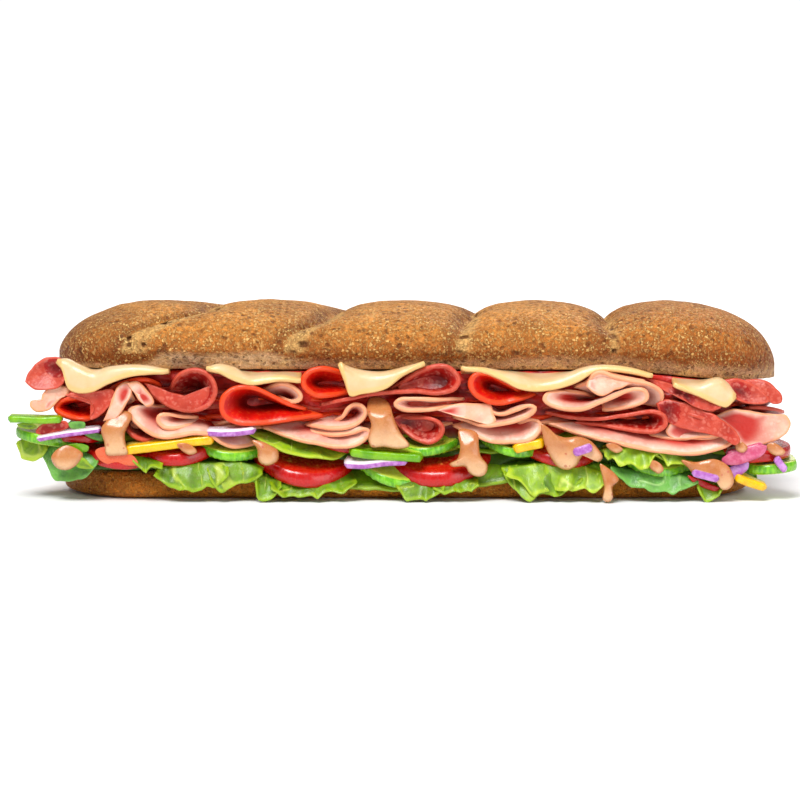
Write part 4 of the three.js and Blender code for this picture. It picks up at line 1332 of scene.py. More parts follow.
@dataclass(frozen=True)
class Face(Shape):
    """A broad part of a slice that is turned to the front, with its outline on the drawing and, where given,
    a spot of painted shade.
    """

    outline: Spots
    back: float
    lean: float = 0.25
    turn: float = 0.0
    thick: float = 1.5
    cup: float = 1.2
    # Column, row and radius of a spot of painted shade on the face; a radius of 0 gives none.
    deep: tuple[float, float, float] = (0, 0, 0)

    def body(self, seed: int) -> Body:
        """Builds the face.

        Args:
            seed: Picks its irregularities.

        Returns:
            The closed sheet.
        """
        x, z = smooth_line([*self.outline, self.outline[0]], 97)
        x, z = x[:-1], z[:-1]
        spots = np.stack([x, z, 0 * x], axis=-1)
        x, z = x + 0.25 * soft_noise(spots, 3, seed), z + 0.25 * soft_noise(spots, 3, seed + 1)
        hub = np.array([(x.min() + x.max()) / 2, (z.min() + z.max()) / 2])
        scale = FACE_RINGS[:, None]
        wide, tall = hub[0] + (x - hub[0]) * scale, hub[1] + (z - hub[1]) * scale
        dip = self.cup * (1 - scale ** 2) - self.lean * (hub[1] - tall) + self.turn * (wide - hub[0])
        dip = dip + 0.5 * soft_noise(np.stack([wide, 0 * wide, tall], axis=-1), 7, seed + 2)
        rim = self.thick * 0.5 * (1 - np.sqrt(np.clip(1 - np.clip((scale - 0.86) / 0.14, 0, 1) ** 2, 0, 1)))
        front = np.stack([wide, -self.back + dip + rim, tall], axis=-1)
        rear = np.stack([wide, -self.back + dip + self.thick - rim, tall], axis=-1)
        rings = np.concatenate([front, rear[::-1]])
        far = np.concatenate([1 - scale, (1 - scale)[::-1]]) * np.hypot(x - hub[0], z - hub[1])
        none = np.zeros(far.shape)
        # Painted shade: near the spot the edge mark grows, so the meat finish darkens the face there;
        # elsewhere the mark stops at 1.2.
        if self.deep[2]:
            spot_x, spot_z = DRAWING.across(self.deep[0]), DRAWING.up(self.deep[1])
            reach = self.deep[2] * DRAWING.step
            near = 1 - np.hypot(rings[..., 0] - spot_x, rings[..., 2] - spot_z) / reach
            shade_mark = np.minimum(13 * np.clip(near * 1.3, 0, 1), far * 2.5)
        else:
            shade_mark = none
        edge = np.where(far < 1.2, far, np.maximum(shade_mark, 1.2))
        return lofted(rings, {"edge": edge, "side": none + 1, "turned": none + 1})


# ---------- roll ----------

# Sections across the halves, as shares of the half width and, for the cut face, millimetres of height.
CUT_SECTION = np.array([(1, 0.9), (0.985, 0.55), (0.95, 0.4), (0.8, 0.3), (0.5, 0.25), (0.2, 0.25),
                        (-0.2, 0.25), (-0.5, 0.25), (-0.8, 0.3), (-0.95, 0.4), (-0.985, 0.55), (-1, 0.9)])
HEEL_SECTION = np.array([(0, 1), (0.5, 1), (0.86, 1), (0.93, 0.97), (0.975, 0.86), (1, 0.66), (1, 0.42),
                         (0.985, 0.24), (0.94, 0.1), (0.86, 0.02), (0.784, 0), (0.4, 0), (0, 0)])


@dataclass(frozen=True)
class Slash:
    """A slash baked into the crust, with the torn crust beside it."""

    crown: float
    edge: float
    depth: float
    tear: float


@dataclass(frozen=True)
class Roll:
    """The crusty roll: a slashed top half and a flat bottom half."""

    left: float = -145.8
    right: float = 160.3
    top: float = 81.6
    half: float = 39.0
    cut_half: float = 34.5
    bulge: float = 63.0
    end_length: float = 38.0
    crown_left: float = 48.0
    crown_right: float = 55.0
    crown_power: float = 1.3
    slashes: tuple[Slash, ...] = (Slash(-81, -121, 5.6, 13), Slash(-28, -48, 8.0, 9),
                                  Slash(30.6, 22.6, 9.0, 6), Slash(87.6, 87.4, 10.0, 3.5))
    slope: float = 2.2
    crumb_tall: Spots = ((-140, 2.4), (-112, 3.0), (-100, 8.4), (-56, 8.4), (-42, 5.6), (20, 5.0), (60, 6.6))
    top_rings: int = 390
    arc: int = 120
    heel_left: float = -143.5
    heel_right: float = 149.1
    heel_top: float = 12.0
    heel_half: float = 37.0
    heel_end: float = 34.0
    heel_rings: int = 200

    @staticmethod
    def _stations(left: float, right: float, count: int) -> Array:
        """Spaces rings along the roll, closer at the ends."""
        share = np.linspace(0, 1, count)[:, None]
        return left + 0.05 + (right - left - 0.1) * (share - 0.12 * np.sin(2 * np.pi * share))

    @staticmethod
    def _ends(x: Array, left: float, right: float, length: float) -> Array:
        """Gives how far each ring has rounded off toward the ends."""
        inset = np.clip(np.minimum(x - left, right - x) / length, 0, 1)
        return np.sqrt(1 - (1 - inset) ** 2)

    def _from_slash(self, slash: Slash, x: Array, y: Array) -> Array:
        """Gives the distance to the right of a slash at each place."""
        bend = np.sign(y) * (np.abs(y) / self.half) ** self.slope
        return x - slash.crown + (slash.edge - slash.crown) * bend + 1.2 * np.sin(y / 5 + slash.crown)

    def _slashed(self, x: Array, y: Array) -> tuple[Array, Array, Array]:
        """Gives what the slashes do to the crust.

        Args:
            x: Places along the roll.
            y: Places across the roll.

        Returns:
            Their depth, their torn crust and their dark lips at each place.
        """
        depth = np.zeros(np.broadcast(x, y).shape)
        torn = depth.copy()
        lip = depth.copy()
        for slash in self.slashes:
            far = self._from_slash(slash, x, y)
            near = np.sqrt(far**2 + 0.4)
            dip = slash.depth * (0.62 * np.exp(-near / 5.5) + 0.38 * np.exp(-near / 17))
            step = 0.9 * np.clip((far + 1.6) / 1.6, 0, 1) * np.exp(-np.maximum(far, 0) / slash.tear)
            depth = np.maximum(depth, dip) + step * 0.6
            fade = np.clip((np.abs(y) + 16) / self.half, 0, 1)
            inside = np.clip((far + 0.5) / 1.5, 0, 1) * np.clip((slash.tear * fade - far) / 3.0 + 0.5, 0, 1)
            torn = np.maximum(torn, inside)
            lip = np.maximum(lip, np.exp(-((far + 3.2) / 2.8) ** 2))
        return depth, torn, lip

    def top_half(self) -> Body:
        """Builds the top half.

        Returns:
            The closed half.
        """
        x = self._stations(self.left, self.right, self.top_rings)
        end = self._ends(x, self.left, self.right, self.end_length)
        roof = DRAWING.roof_at(x)
        bulge = roof + 5 + (np.maximum(self.bulge, roof + 8) - roof - 5) * end
        angle = np.linspace(0, np.pi, self.arc)
        side = np.sign(np.cos(angle)) * np.abs(np.cos(angle)) ** 0.8
        y = self.half * end * side
        inset = np.minimum((x - self.left) / self.crown_left, (self.right - x) / self.crown_right)
        share = np.sqrt(1 - (1 - np.clip(inset, 0, 1)) ** 2) ** self.crown_power
        height = (self.top - bulge) * share * np.sin(angle) ** 0.85
        depth, torn, lip = self._slashed(x, y)
        rise = np.minimum(1, 0.25 + np.sin(angle))
        dent = depth * rise * end
        dome = np.stack([np.broadcast_to(x, y.shape), y * (1 - 0.35 * dent / self.half),
                         bulge + height - dent * np.sin(angle)], axis=-1)
        cut_y = -self.cut_half * end * CUT_SECTION[:, 0]
        cut = np.stack([np.broadcast_to(x, cut_y.shape), cut_y, roof + CUT_SECTION[:, 1]], axis=-1)
        steps = (1 / 6, 1 / 3, 1 / 2, 2 / 3, 5 / 6)
        lower = [cut[:, :1] + (dome[:, -1:] - cut[:, :1]) * t for t in steps[::-1]]
        upper = [cut[:, -1:] + (dome[:, :1] - cut[:, -1:]) * t for t in steps]
        rings = np.concatenate([dome, *lower, cut, *upper], axis=1)
        out = rings - np.stack([np.broadcast_to(x, rings.shape[:2]), np.zeros(rings.shape[:2]),
                                np.broadcast_to(bulge, rings.shape[:2])], axis=-1)
        out /= np.maximum(np.linalg.norm(out, axis=-1, keepdims=True), 1e-6)
        below = np.clip((bulge - rings[..., 2]) / 6, 0, 1)
        torn, lip = (np.pad(mark, ((0, 0), (0, rings.shape[1] - self.arc))) for mark in (torn, lip))
        lumps = (0.6 * soft_noise(rings, 24, 11) + 0.28 * soft_noise(rings, 8, 12)
                 + 0.14 * soft_noise(rings, 3, 13))
        lumps = lumps + torn * (0.5 * soft_noise(rings, 4, 17) - 0.35 * np.abs(soft_noise(rings, 2.6, 18)))
        pits = np.clip(soft_noise(rings, 3.0, 19) - 0.64 + 0.2 * torn, 0, 1) * (1.5 + 3.5 * torn)
        ragged = below * (0.35 * soft_noise(rings, 2.2, 14) + 0.3 * soft_noise(rings, 4.5, 15))
        rings = rings + out * ((lumps * (1 - 0.6 * below) + ragged - pits) * end)[..., None]
        # Crown mark: lighter higher up, partly baked colour and partly painted light from above.
        crown = np.clip((rings[..., 2] - 58) / 20, 0, 1)
        tall = np.interp(x, *zip(*self.crumb_tall))
        crumb = np.clip((roof + tall + 1.2 * soft_noise(rings, 7, 16) - rings[..., 2]) / 2.4, 0, 1)
        # The pit mark darkens the pits as painted shade; the lip mark darkens the slash lips, partly as baked
        # colour and partly as painted shade.
        return lofted(rings, {"crown": crown, "crumb": crumb, "crease": torn, "lip": lip,
                              "pit": np.clip(pits * 2.5, 0, 1)})

    def bottom_half(self) -> Body:
        """Builds the bottom half.

        Returns:
            The closed half.
        """
        x = self._stations(self.heel_left, self.heel_right, self.heel_rings)
        end = self._ends(x, self.heel_left, self.heel_right, self.heel_end)
        lift = 3.4 * (1 - end) ** 1.2
        full = np.vstack([HEEL_SECTION, HEEL_SECTION[-2:0:-1] * (-1, 1)])
        full = np.array([a + (b - a) * t for a, b in zip(full, np.roll(full, -1, axis=0)) for t in (0, 0.5)])
        y = self.heel_half * end * full[:, 0]
        z = lift + (self.heel_top - lift) * full[:, 1]
        rings = np.stack([np.broadcast_to(x, y.shape), y, z], axis=-1)
        edge = np.abs(full[:, 0]) > 0.7
        bump = (0.5 * soft_noise(rings, 14, 21) + 0.25 * soft_noise(rings, 5, 22)) * end * edge
        rings[..., 1] += np.sign(rings[..., 1]) * bump
        sole = np.clip(1 - rings[..., 2] / 2, 0, 1)
        rings[..., 2] = np.maximum(rings[..., 2] + bump * 0.3 * (1 - sole), 0.0)
        crown = np.clip(1 - rings[..., 2] / 9, 0, 1) * 0.5
        crumb = np.clip((rings[..., 2] - 11 - 0.5 * soft_noise(rings, 5, 23)) / 1.0, 0, 1)
        none = np.zeros(crumb.shape)
        return lofted(rings, {"crown": crown, "crumb": crumb, "crease": none, "lip": none + 0.35,
                              "pit": none})


# ---------- lay-out of the pieces ----------

CRINKLES = 34
CUCUMBER_THICK = 4.2
TOMATO_THICK = 5.0

# Cheese: its upper edge and its hem.
CHEESES = (
    DrapedSlice("cheese_1", front=46.4, top=((57, 361), (66, 358), (79, 365), (94, 372), (110, 367),
        (140, 364), (168, 370)), low=((60, 372), (65, 386), (76, 392), (92, 391), (108, 383), (140, 373),
        (165, 374))),
    DrapedSlice("cheese_2", front=46, top=((207, 367), (219, 363), (232, 366), (250, 378), (267, 376),
        (283, 376), (300, 380)), low=((213, 373), (224, 375), (236, 380), (251, 384), (264, 382),
        (281, 379.5), (299, 382))),
    DrapedSlice("cheese_3", front=47, top=((340, 362), (350, 367), (363, 371), (378, 373), (391, 371),
        (408, 366), (424, 362)), low=((342, 380), (350, 394), (362, 392), (376, 390), (388, 386), (402, 375),
        (419, 366))),
    DrapedSlice("cheese_4", front=44.5, top=((462, 366), (480, 367), (500, 371), (520, 376), (540, 381),
        (560, 377), (585, 366), (610, 364), (635, 368), (652, 374)), low=((463, 370), (482, 371.5),
        (502, 379), (518, 387), (535, 390), (555, 388), (576, 381), (596, 370), (612, 369), (635, 373),
        (650, 379))),
    DrapedSlice("cheese_5", front=46.6, top=((674, 384), (688, 386), (701, 385), (711, 380), (719, 378),
        (727, 384), (735, 396)), low=((677, 388), (690, 392), (702, 397), (713, 402), (723, 406), (731, 407),
        (736, 404))),
)

# Meats that show folded, each line drawn from one cut end of the fold to the other.
MEATS = (
    FoldedSlice("pepperoni_2", closing=0.85, toward=(322, 372), thick=2.6, front=46, line=((352, 369),
        (335, 366.5), (319, 367), (308, 371), (302.5, 379), (305, 388), (317, 396), (333, 394), (350, 390))),
    FoldedSlice("pepperoni_1", closing=0.75, toward=(262, 396), thick=2.6, front=48, line=((306, 409.5),
        (290, 404.5), (274, 396), (258, 388), (243, 385.5), (230, 389), (221.5, 398), (221, 411),
        (229, 420.5), (244, 424.5), (267, 423), (295, 419), (322, 416.5))),
    FoldedSlice("pepperoni_3", closing=0.85, toward=(500, 378), thick=2.6, front=46, line=((521, 388),
        (505, 379), (489, 372.5), (476, 372), (469.5, 381), (473, 393), (486, 401.5), (503, 403.5),
        (520, 399.5), (536, 392))),
    FoldedSlice("pepperoni_roll", closing=0.8, toward=(74, 404), thick=2.6, front=46.5, line=((103, 397),
        (90, 396.5), (71, 398.5), (58, 403), (54, 409.5), (62, 417.5), (80, 421.5), (95, 418.5), (101, 413))),
    FoldedSlice("pepperoni_flat", thick=2.6, front=43, line=((106, 386.5), (118, 382), (133, 378),
        (148, 376.5), (160, 378.5))),
    FoldedSlice("salami_1", closing=0.8, toward=(192, 380), front=47, line=((169, 386), (174, 377),
        (184, 370), (195, 368), (206, 371.5), (214, 379.5), (217, 388.5), (214.5, 398.5), (207, 406.5),
        (196, 411), (181, 410.5), (167, 405.5), (154, 395.5), (143, 384.5))),
    FoldedSlice("salami_2", closing=0.75, toward=(425, 378), front=47, line=((390, 385.5), (402, 379),
        (418, 370), (437, 363.5), (451, 367), (460, 379), (455, 389), (440, 393), (412, 391.5), (380, 393),
        (350, 398), (320, 404.5))),
    FoldedSlice("salami_far_left", closing=0.88, toward=(54, 352), front=44, line=((25, 379), (29, 385.5),
        (40, 389.5), (54, 387.5), (72, 383))),
    FoldedSlice("salami_roll", closing=0.85, toward=(424, 424), front=45, line=((397, 418.5), (410, 418.5),
        (426, 418), (438, 421.5), (444, 430.5), (440, 440), (430, 445), (418, 442), (405, 434), (398, 426))),
    FoldedSlice("salami_3", front=45.5, line=((670, 382), (686, 388), (705, 396.5), (716, 404.5), (712, 411),
        (698, 409), (681, 401.5), (671, 395.5))),
    FoldedSlice("salami_4", closing=0.8, toward=(640, 418), front=46, line=((546, 414), (562, 417.5),
        (580, 419.5), (600, 419.5), (620, 416.5), (640, 412.5), (656, 411.5), (665, 416), (667, 425),
        (659, 431.5), (643, 432.5), (620, 430), (598, 427), (574, 426))),
    FoldedSlice("salami_5", front=46.5, line=((676, 409.5), (692, 414.5), (708, 420), (722, 425),
        (733, 429))),
    FoldedSlice("salami_far_right", closing=0.6, front=44.5, line=((730, 386), (747, 382), (763, 384),
        (776, 390), (780, 397), (772, 401), (756, 401), (740, 399))),
    FoldedSlice("salami_edge", front=45, line=((741, 407.5), (756, 408.5), (772, 410.5), (787, 413))),
    FoldedSlice("ham_far_left", front=45, line=((66, 391.5), (54, 392), (46, 396), (40, 402.5), (30, 405.5))),
    FoldedSlice("ham_arch", closing=0.8, toward=(124, 408), front=46, line=((107, 421), (112, 410),
        (115, 397), (119, 389), (125, 386.5), (130, 390), (134, 397.5))),
    FoldedSlice("ham_inner", closing=0.8, toward=(190, 416), front=45, line=((197, 419.5), (181, 417.5),
        (168, 414.5), (159, 415.5), (157, 422), (163, 428.5), (173, 430), (186, 428), (204, 425.5))),
    FoldedSlice("ham_outer", closing=0.6, toward=(190, 408), front=47, line=((150, 405), (134, 406.5),
        (128, 411.5), (132, 420), (142, 428.5), (153, 435.5), (165, 438.5), (180, 436.5), (196, 433.5),
        (210, 436), (220, 443.5), (231, 449), (244, 451), (258, 450))),
    FoldedSlice("ham_roll", closing=0.6, toward=(280, 394), front=45, line=((262, 385.5), (270, 383.5),
        (281, 382), (292, 385), (300, 392), (301, 398.5), (295, 402), (286, 399), (277, 393.5))),
    FoldedSlice("ham_tube", closing=0.75, toward=(352, 412), front=46, line=((333, 424), (342, 417),
        (347, 408.5), (354, 404), (362, 406), (366, 413), (361, 421), (350, 427), (330, 429.5),
        (305, 428.5))),
    FoldedSlice("ham_fold_low", closing=0.7, toward=(325, 424), front=47.5, line=((262, 431), (285, 437.5),
        (310, 443.5), (335, 447.5), (352, 447), (366, 440), (372, 433.5), (366, 429.5), (352, 434),
        (330, 437), (305, 436.5))),
    FoldedSlice("ham_flat", closing=0.7, toward=(430, 402), front=47, line=((464, 397.5), (440, 399),
        (412, 398), (399, 399), (394.5, 404), (401, 409.5), (420, 410.5), (441, 408), (458, 405))),
    FoldedSlice("ham_ruffle", closing=0.5, toward=(500, 408), front=48, line=((453, 418), (466, 422.5),
        (480, 425.5), (500, 425), (520, 419.5), (533, 413), (536, 407.5), (529, 405.5), (516, 409.5),
        (504, 414.5), (495, 414), (488, 409.5), (477, 409))),
    FoldedSlice("ham_round", closing=0.8, toward=(505, 416), front=46, line=((453, 428.5), (473, 437.5),
        (492, 443.5), (512, 444), (530, 440.5), (541, 432), (541, 423.5), (533, 421), (520, 427))),
    FoldedSlice("ham_big", closing=0.8, toward=(600, 394), front=48, line=((583, 390), (560, 389.5),
        (546, 392.5), (543.5, 400), (557, 407.5), (580, 409), (600, 402.5), (618, 394), (636, 387.5),
        (646, 390), (648, 398), (640, 404.5), (622, 409), (604, 411.5))),
    FoldedSlice("ham_crest", closing=0.6, toward=(622, 396), front=47, line=((575, 382.5), (587, 380),
        (593, 373), (600, 371), (613, 374.5), (632, 379.5), (650, 382.5), (662, 389.5), (663, 399),
        (657, 404.5))),
    FoldedSlice("ham_large", closing=0.75, toward=(640, 424), front=48, line=((549, 426.5), (575, 434.5),
        (605, 441), (640, 448.5), (675, 454), (705, 453.5), (727, 447), (736, 440), (728, 435.5), (705, 438),
        (680, 441), (652, 440))),
    FoldedSlice("ham_far_right", closing=0.8, toward=(742, 414), front=46, line=((744, 416.5), (764, 418),
        (782, 421), (787, 427.5), (781, 436), (766, 442), (750, 442.5))),
)

# Column, row, front, radius, thickness and lean of each tomato slice.
TOMATOES = tuple(RoundSlice(f"tomato_{number}", *sizes) for number, sizes in enumerate((
    (118, 464.5, 46.5, 15, 5, -0.12), (178, 462, 46, 18, 5.6, 0.05), (303, 481, 47, 24, 6.8, -0.12),
    (440, 481.5, 47, 24, 6.8, 0.06), (562, 464, 46, 18, 5, -0.1), (758, 459, 43, 15, 5, 0.08),
), 1))

# Column, row, front, radius and lean of each cucumber slice.
CUCUMBERS = tuple(RoundSlice(f"cucumber_{number}", column, row, front, radius, CUCUMBER_THICK, lean, CRINKLES)
                  for number, (column, row, front, radius, lean) in enumerate((
    (44, 441, 44.5, 13, -0.16), (229, 459, 45, 15, -0.1), (428, 455, 44, 14, 0.1), (392, 485, 45.5, 19, -0.3),
    (513, 455, 44.5, 14, -0.2), (655, 475, 45, 19, -0.18), (771, 471, 43, 12, 0.05),
), 1))

STRIPS = (
    CutStrip("green_pepper_1", line=((7, 419.5), (25, 420), (44, 420.5), (62, 420)), tall=3.2, wide=11,
        middle=-41),
    CutStrip("green_pepper_2", line=((349, 452.5), (370, 455.5), (395, 457.5), (423, 459)), tall=3.8, wide=9,
        middle=-43.5),
    CutStrip("yellow_pepper_1", line=((124, 451.5), (145, 449), (170, 445.5), (196, 442), (214, 440.5)),
        tall=4, wide=8, middle=-43.5),
    CutStrip("yellow_pepper_2", line=((513, 451), (525, 447.5), (545, 443.5)), tall=4.2, wide=8, middle=-43),
    CutStrip("yellow_pepper_3", line=((735, 478), (750, 484), (768, 489.5)), tall=3.4, wide=8, middle=-41.5),
    CutStrip("onion_1", line=((36, 439.5), (58, 435.5), (80, 432.5), (101, 429.5)), tall=2.6, wide=9,
        middle=-43, banded=True),
    CutStrip("onion_2", line=((206, 432.5), (222, 433), (238, 432.5), (256, 430)), tall=3.4, wide=8,
        middle=-44, banded=True),
    CutStrip("onion_3", line=((344, 465.5), (362, 466), (385, 463.5), (408, 462)), tall=3.4, wide=7,
        middle=-44, banded=True),
    CutStrip("onion_4", line=((727, 457), (740, 453.5), (754, 450), (765, 447)), tall=4, wide=7, middle=-42),
)

LETTUCE_STRIPS = (
    FoldedSlice("lettuce_1", thick=1.3, front=46, closing=0.4, toward=(290, 440), ripple=1.6,
        line=((243, 438), (258, 441), (272, 447), (288, 454), (305, 458), (322, 461), (346, 463))),
    FoldedSlice("lettuce_2", thick=1.3, front=45, closing=0.5, toward=(640, 440), ripple=1.6,
        line=((603, 455), (618, 464), (630, 467), (644, 461), (656, 457), (668, 463), (686, 470))),
)

# Rows of slices tucked in behind the folds that show in front: kind, drawing row, first and last column,
# half depth and how far each slice closes up inside.
TUCKED = (
    ("salami", 387, 92, 720, 34, 0.5), ("pepperoni", 398, 92, 744, 34, 0.5),
    ("salami", 409, 84, 752, 34.5, 0.5), ("pepperoni", 420, 100, 748, 36, 0.5),
    ("ham", 431, 130, 750, 36, 0.5), ("lettuce", 447, 84, 742, 36, 0.5), ("lettuce", 463, 92, 738, 36, 0.2),
    ("lettuce", 478, 88, 738, 30, 0.0), ("lettuce", 491, 92, 736, 29, 0.0),
)

TUCKED_LENGTH = 62.0
TUCKED_STEP = 43.0

BED = FoldedSlice("bed", line=((92, 482), (115, 480), (140, 478), (160, 482), (185, 483), (212, 485),
    (240, 488), (265, 495), (300, 497), (345, 498), (390, 499), (430, 499), (470, 497), (500, 492),
    (530, 484), (565, 482), (600, 487), (632, 488), (665, 489), (700, 491), (728, 494)), front=42, thick=2.0,
    detail=COARSE)

# Leaves that hang over the rim: where they leave the bed, their crest and their hem.
FLAPS = (
    LeafFlap("spinach_left", bed=((46, 470), (70, 476), (98, 481)), top=((40, 452), (68, 451), (98, 464)),
        low=((42, 466), (52, 480), (66, 484), (84, 478), (98, 470)), pleat=24, depth=1.0, pale=0.2,
        kind="spinach"),
    LeafFlap("lettuce_far_left", bed=((30, 462), (50, 468), (66, 474)), top=((14, 448), (28, 442), (46, 450)),
        low=((13, 456), (18, 463), (30, 465), (40, 461), (46, 455)), pleat=30, depth=0.5, frill=0.4,
        kind="lettuce_pale"),
    LeafFlap("lettuce_tip", bed=((134, 478), (148, 478), (164, 482)), top=((133, 460), (146, 463),
        (162, 467)), low=((137, 473), (146, 472), (153, 467), (162, 471)), pleat=8, depth=1.6),
    LeafFlap("lettuce_fan", bed=((154, 480), (190, 484), (232, 488)), top=((156, 474), (180, 469), (206, 468),
        (228, 470)), low=((154, 482), (166, 488), (190, 489), (214, 487), (232, 482)), pleat=15, depth=1.6,
        pale=0.45),
    LeafFlap("lettuce_fold", bed=((205, 485), (235, 488), (266, 494)), top=((208, 470), (236, 466),
        (262, 474)), low=((206, 489), (222, 492), (240, 484), (256, 480)), pleat=13, depth=1.6, pale=0.4),
    LeafFlap("lettuce_curl", bed=((252, 494), (268, 496), (284, 497)), top=((254, 476), (266, 484),
        (280, 488)), low=((256, 497), (264, 503), (273, 501), (279, 492)), pleat=9, depth=2.0),
    LeafFlap("lettuce_thin", bed=((266, 494), (305, 497), (352, 498)), top=((270, 488), (300, 492),
        (340, 489), (356, 485)), low=((270, 496), (292, 499), (320, 496), (343, 494), (354, 488)), pleat=8,
        depth=1.2),
    LeafFlap("lettuce_shade", bed=((398, 499), (420, 499), (442, 498)), top=((396, 489), (420, 490),
        (444, 489)), low=((398, 499), (412, 502), (430, 503), (442, 497)), pleat=8, depth=1.5, pale=0.3),
    LeafFlap("lettuce_right_tip", bed=((436, 499), (455, 498), (476, 496)), top=((434, 490), (455, 487),
        (478, 486)), low=((436, 497), (448, 497), (462, 495), (470, 493), (476, 489)), pleat=6, depth=1.2),
    LeafFlap("lettuce_deep", bed=((503, 491), (535, 484), (580, 486)), top=((502, 474), (540, 472),
        (584, 480)), low=((512, 498), (524, 502), (545, 500), (566, 494), (582, 486)), pleat=12, depth=1.4,
        pale=0.3, front=44),
    LeafFlap("lettuce_wide", bed=((510, 491), (555, 484), (618, 488)), top=((508, 472), (550, 468),
        (590, 473), (614, 480)), low=((514, 484), (532, 494), (556, 489), (580, 491), (600, 489), (616, 486)),
        pleat=11, depth=2.4, front=45.4, pale=0.75, frill=1.2, kind="lettuce_pale"),
    LeafFlap("lettuce_upper", bed=((606, 466), (645, 470), (686, 476)), top=((604, 452), (628, 447),
        (656, 448), (672, 453), (686, 464)), low=((606, 461), (626, 468), (644, 468), (658, 459), (670, 466),
        (686, 471)), pleat=11, depth=2.2, front=44.6, pale=0.8, frill=1.4, kind="lettuce_pale"),
    LeafFlap("spinach_right", bed=((612, 488), (655, 489), (700, 490)), top=((612, 472), (655, 480),
        (698, 484)), low=((616, 480), (634, 487), (655, 491), (680, 492), (698, 489)), pleat=26, depth=0.9,
        pale=0.2, kind="spinach"),
    LeafFlap("lettuce_end", bed=((698, 491), (711, 492), (726, 494)), top=((697, 487), (708, 489),
        (722, 491)), low=((700, 501), (709, 503), (717, 499), (722, 494)), pleat=8, depth=1.4),
    LeafFlap("spinach_end", bed=((742, 484), (750, 486), (758, 490)), top=((742, 483), (750, 486),
        (758, 490)), low=((747, 489), (753, 494), (758, 496)), front=38, pleat=12, depth=0.5, kind="spinach"),
)

# Tomato and cucumber slices at the back rim: column, row and radius.
BACK_PILES = (
    (140, 478, 17), (250, 490, 20), (372, 498, 20), (500, 491, 20), (612, 488, 18),
)

# Thick runs of sauce, each fused to the filling that it lies on.
FUSED_SAUCE = (
    Patch("sauce_arch", ((101, 429), (107, 420), (115, 413), (125, 411), (132, 415), (129, 424), (125, 433),
        (126, 445), (128, 454), (117, 456), (106, 455), (104, 443)), back=47.3, tuck=3.0, host="ham_arch"),
    Patch("sauce_fold", ((369, 400), (379, 398), (389, 404), (394, 418), (401, 433), (410, 446), (399, 449),
        (384, 447), (371, 447), (368, 438), (371, 424), (367, 411)), back=47.6, tuck=9.0,
        host="ham_fold_low"),
    Patch("sauce_round", ((459, 430), (477, 433), (479, 446), (481, 456), (488, 466), (485, 475), (477, 477),
        (469, 473), (465, 467), (452, 467), (449, 464), (457, 459), (460, 448)), back=47.6, tuck=3.0,
        host="ham_round"),
    Patch("sauce_large", ((541, 423), (547, 426), (556, 434), (566, 437), (578, 436), (590, 440), (597, 447),
        (603, 457), (599, 462), (592, 458), (587, 453), (581, 458), (577, 465), (568, 470), (558, 467),
        (551, 458), (545, 445), (542, 432)), back=48.4, host="ham_large"),
)

# Cuttings that lie in the same solid as the filling they are named after.
SLIVERS = {
    "onion_1": RoundSlice("tomato_sliver", column=76, row=440.5, front=44, radius=14, thick=3.2, lean=-0.06,
        middle=-30),
    "green_pepper_2": RoundSlice("tomato_dark_sliver", column=338, row=452, front=43, radius=15, thick=3.6,
        lean=-0.2, middle=-28),
    "cucumber_7": CutStrip("onion_sliver", line=((776, 458), (781, 465), (787, 472)), tall=2.6, wide=6,
        middle=-43.5),
    "ham_outer": FoldedSlice("salami_low", line=((124, 423), (128, 433), (138, 440), (150, 442), (160, 440)),
        front=44),
}

# Sauce that lies thinly over the fillings and is not part of any solid.
THIN_SAUCE = (
    Patch("sauce_far_left", ((51, 457), (56, 450), (66, 445), (76, 448), (83, 454), (79, 463), (68, 470),
        (58, 469), (53, 464)), back=47.6),
    Patch("sauce_finger", ((177, 444), (186, 443), (195, 448), (197, 452), (190, 455), (182, 451)), back=47.6,
        bulge=1.6),
    Patch("sauce_left", ((252, 440), (262, 441), (272, 446), (278, 450), (278, 460), (271, 465), (263, 465),
        (258, 460), (257, 449)), back=48),
    Patch("sauce_drip", ((600, 463), (606, 466), (616, 474), (619, 480), (613, 486), (613, 498), (609, 502),
        (603, 500), (604, 486), (602, 476)), back=49.6),
    Patch("sauce_bit_1", ((606, 444), (614, 443), (623, 449), (617, 453), (609, 449)), back=48.6, bulge=1.4),
    Patch("sauce_bit_2", ((652, 460), (660, 463), (664, 470), (659, 474), (651, 469), (648, 464)), back=47.6,
        bulge=1.4),
    Patch("sauce_right", ((681, 460), (696, 462), (714, 459), (726, 464), (733, 473), (734, 484), (729, 490),
        (722, 490), (718, 483), (706, 478), (695, 475), (688, 468)), back=46.8),
    Patch("sauce_bit_3", ((736, 444), (742, 442), (748, 448), (744, 453), (737, 451)), back=46.4, bulge=1.3),
    Patch("sauce_far_right", ((767, 446), (773, 443), (780, 446), (786, 453), (779, 457), (770, 453)),
        back=45, bulge=1.6),
)

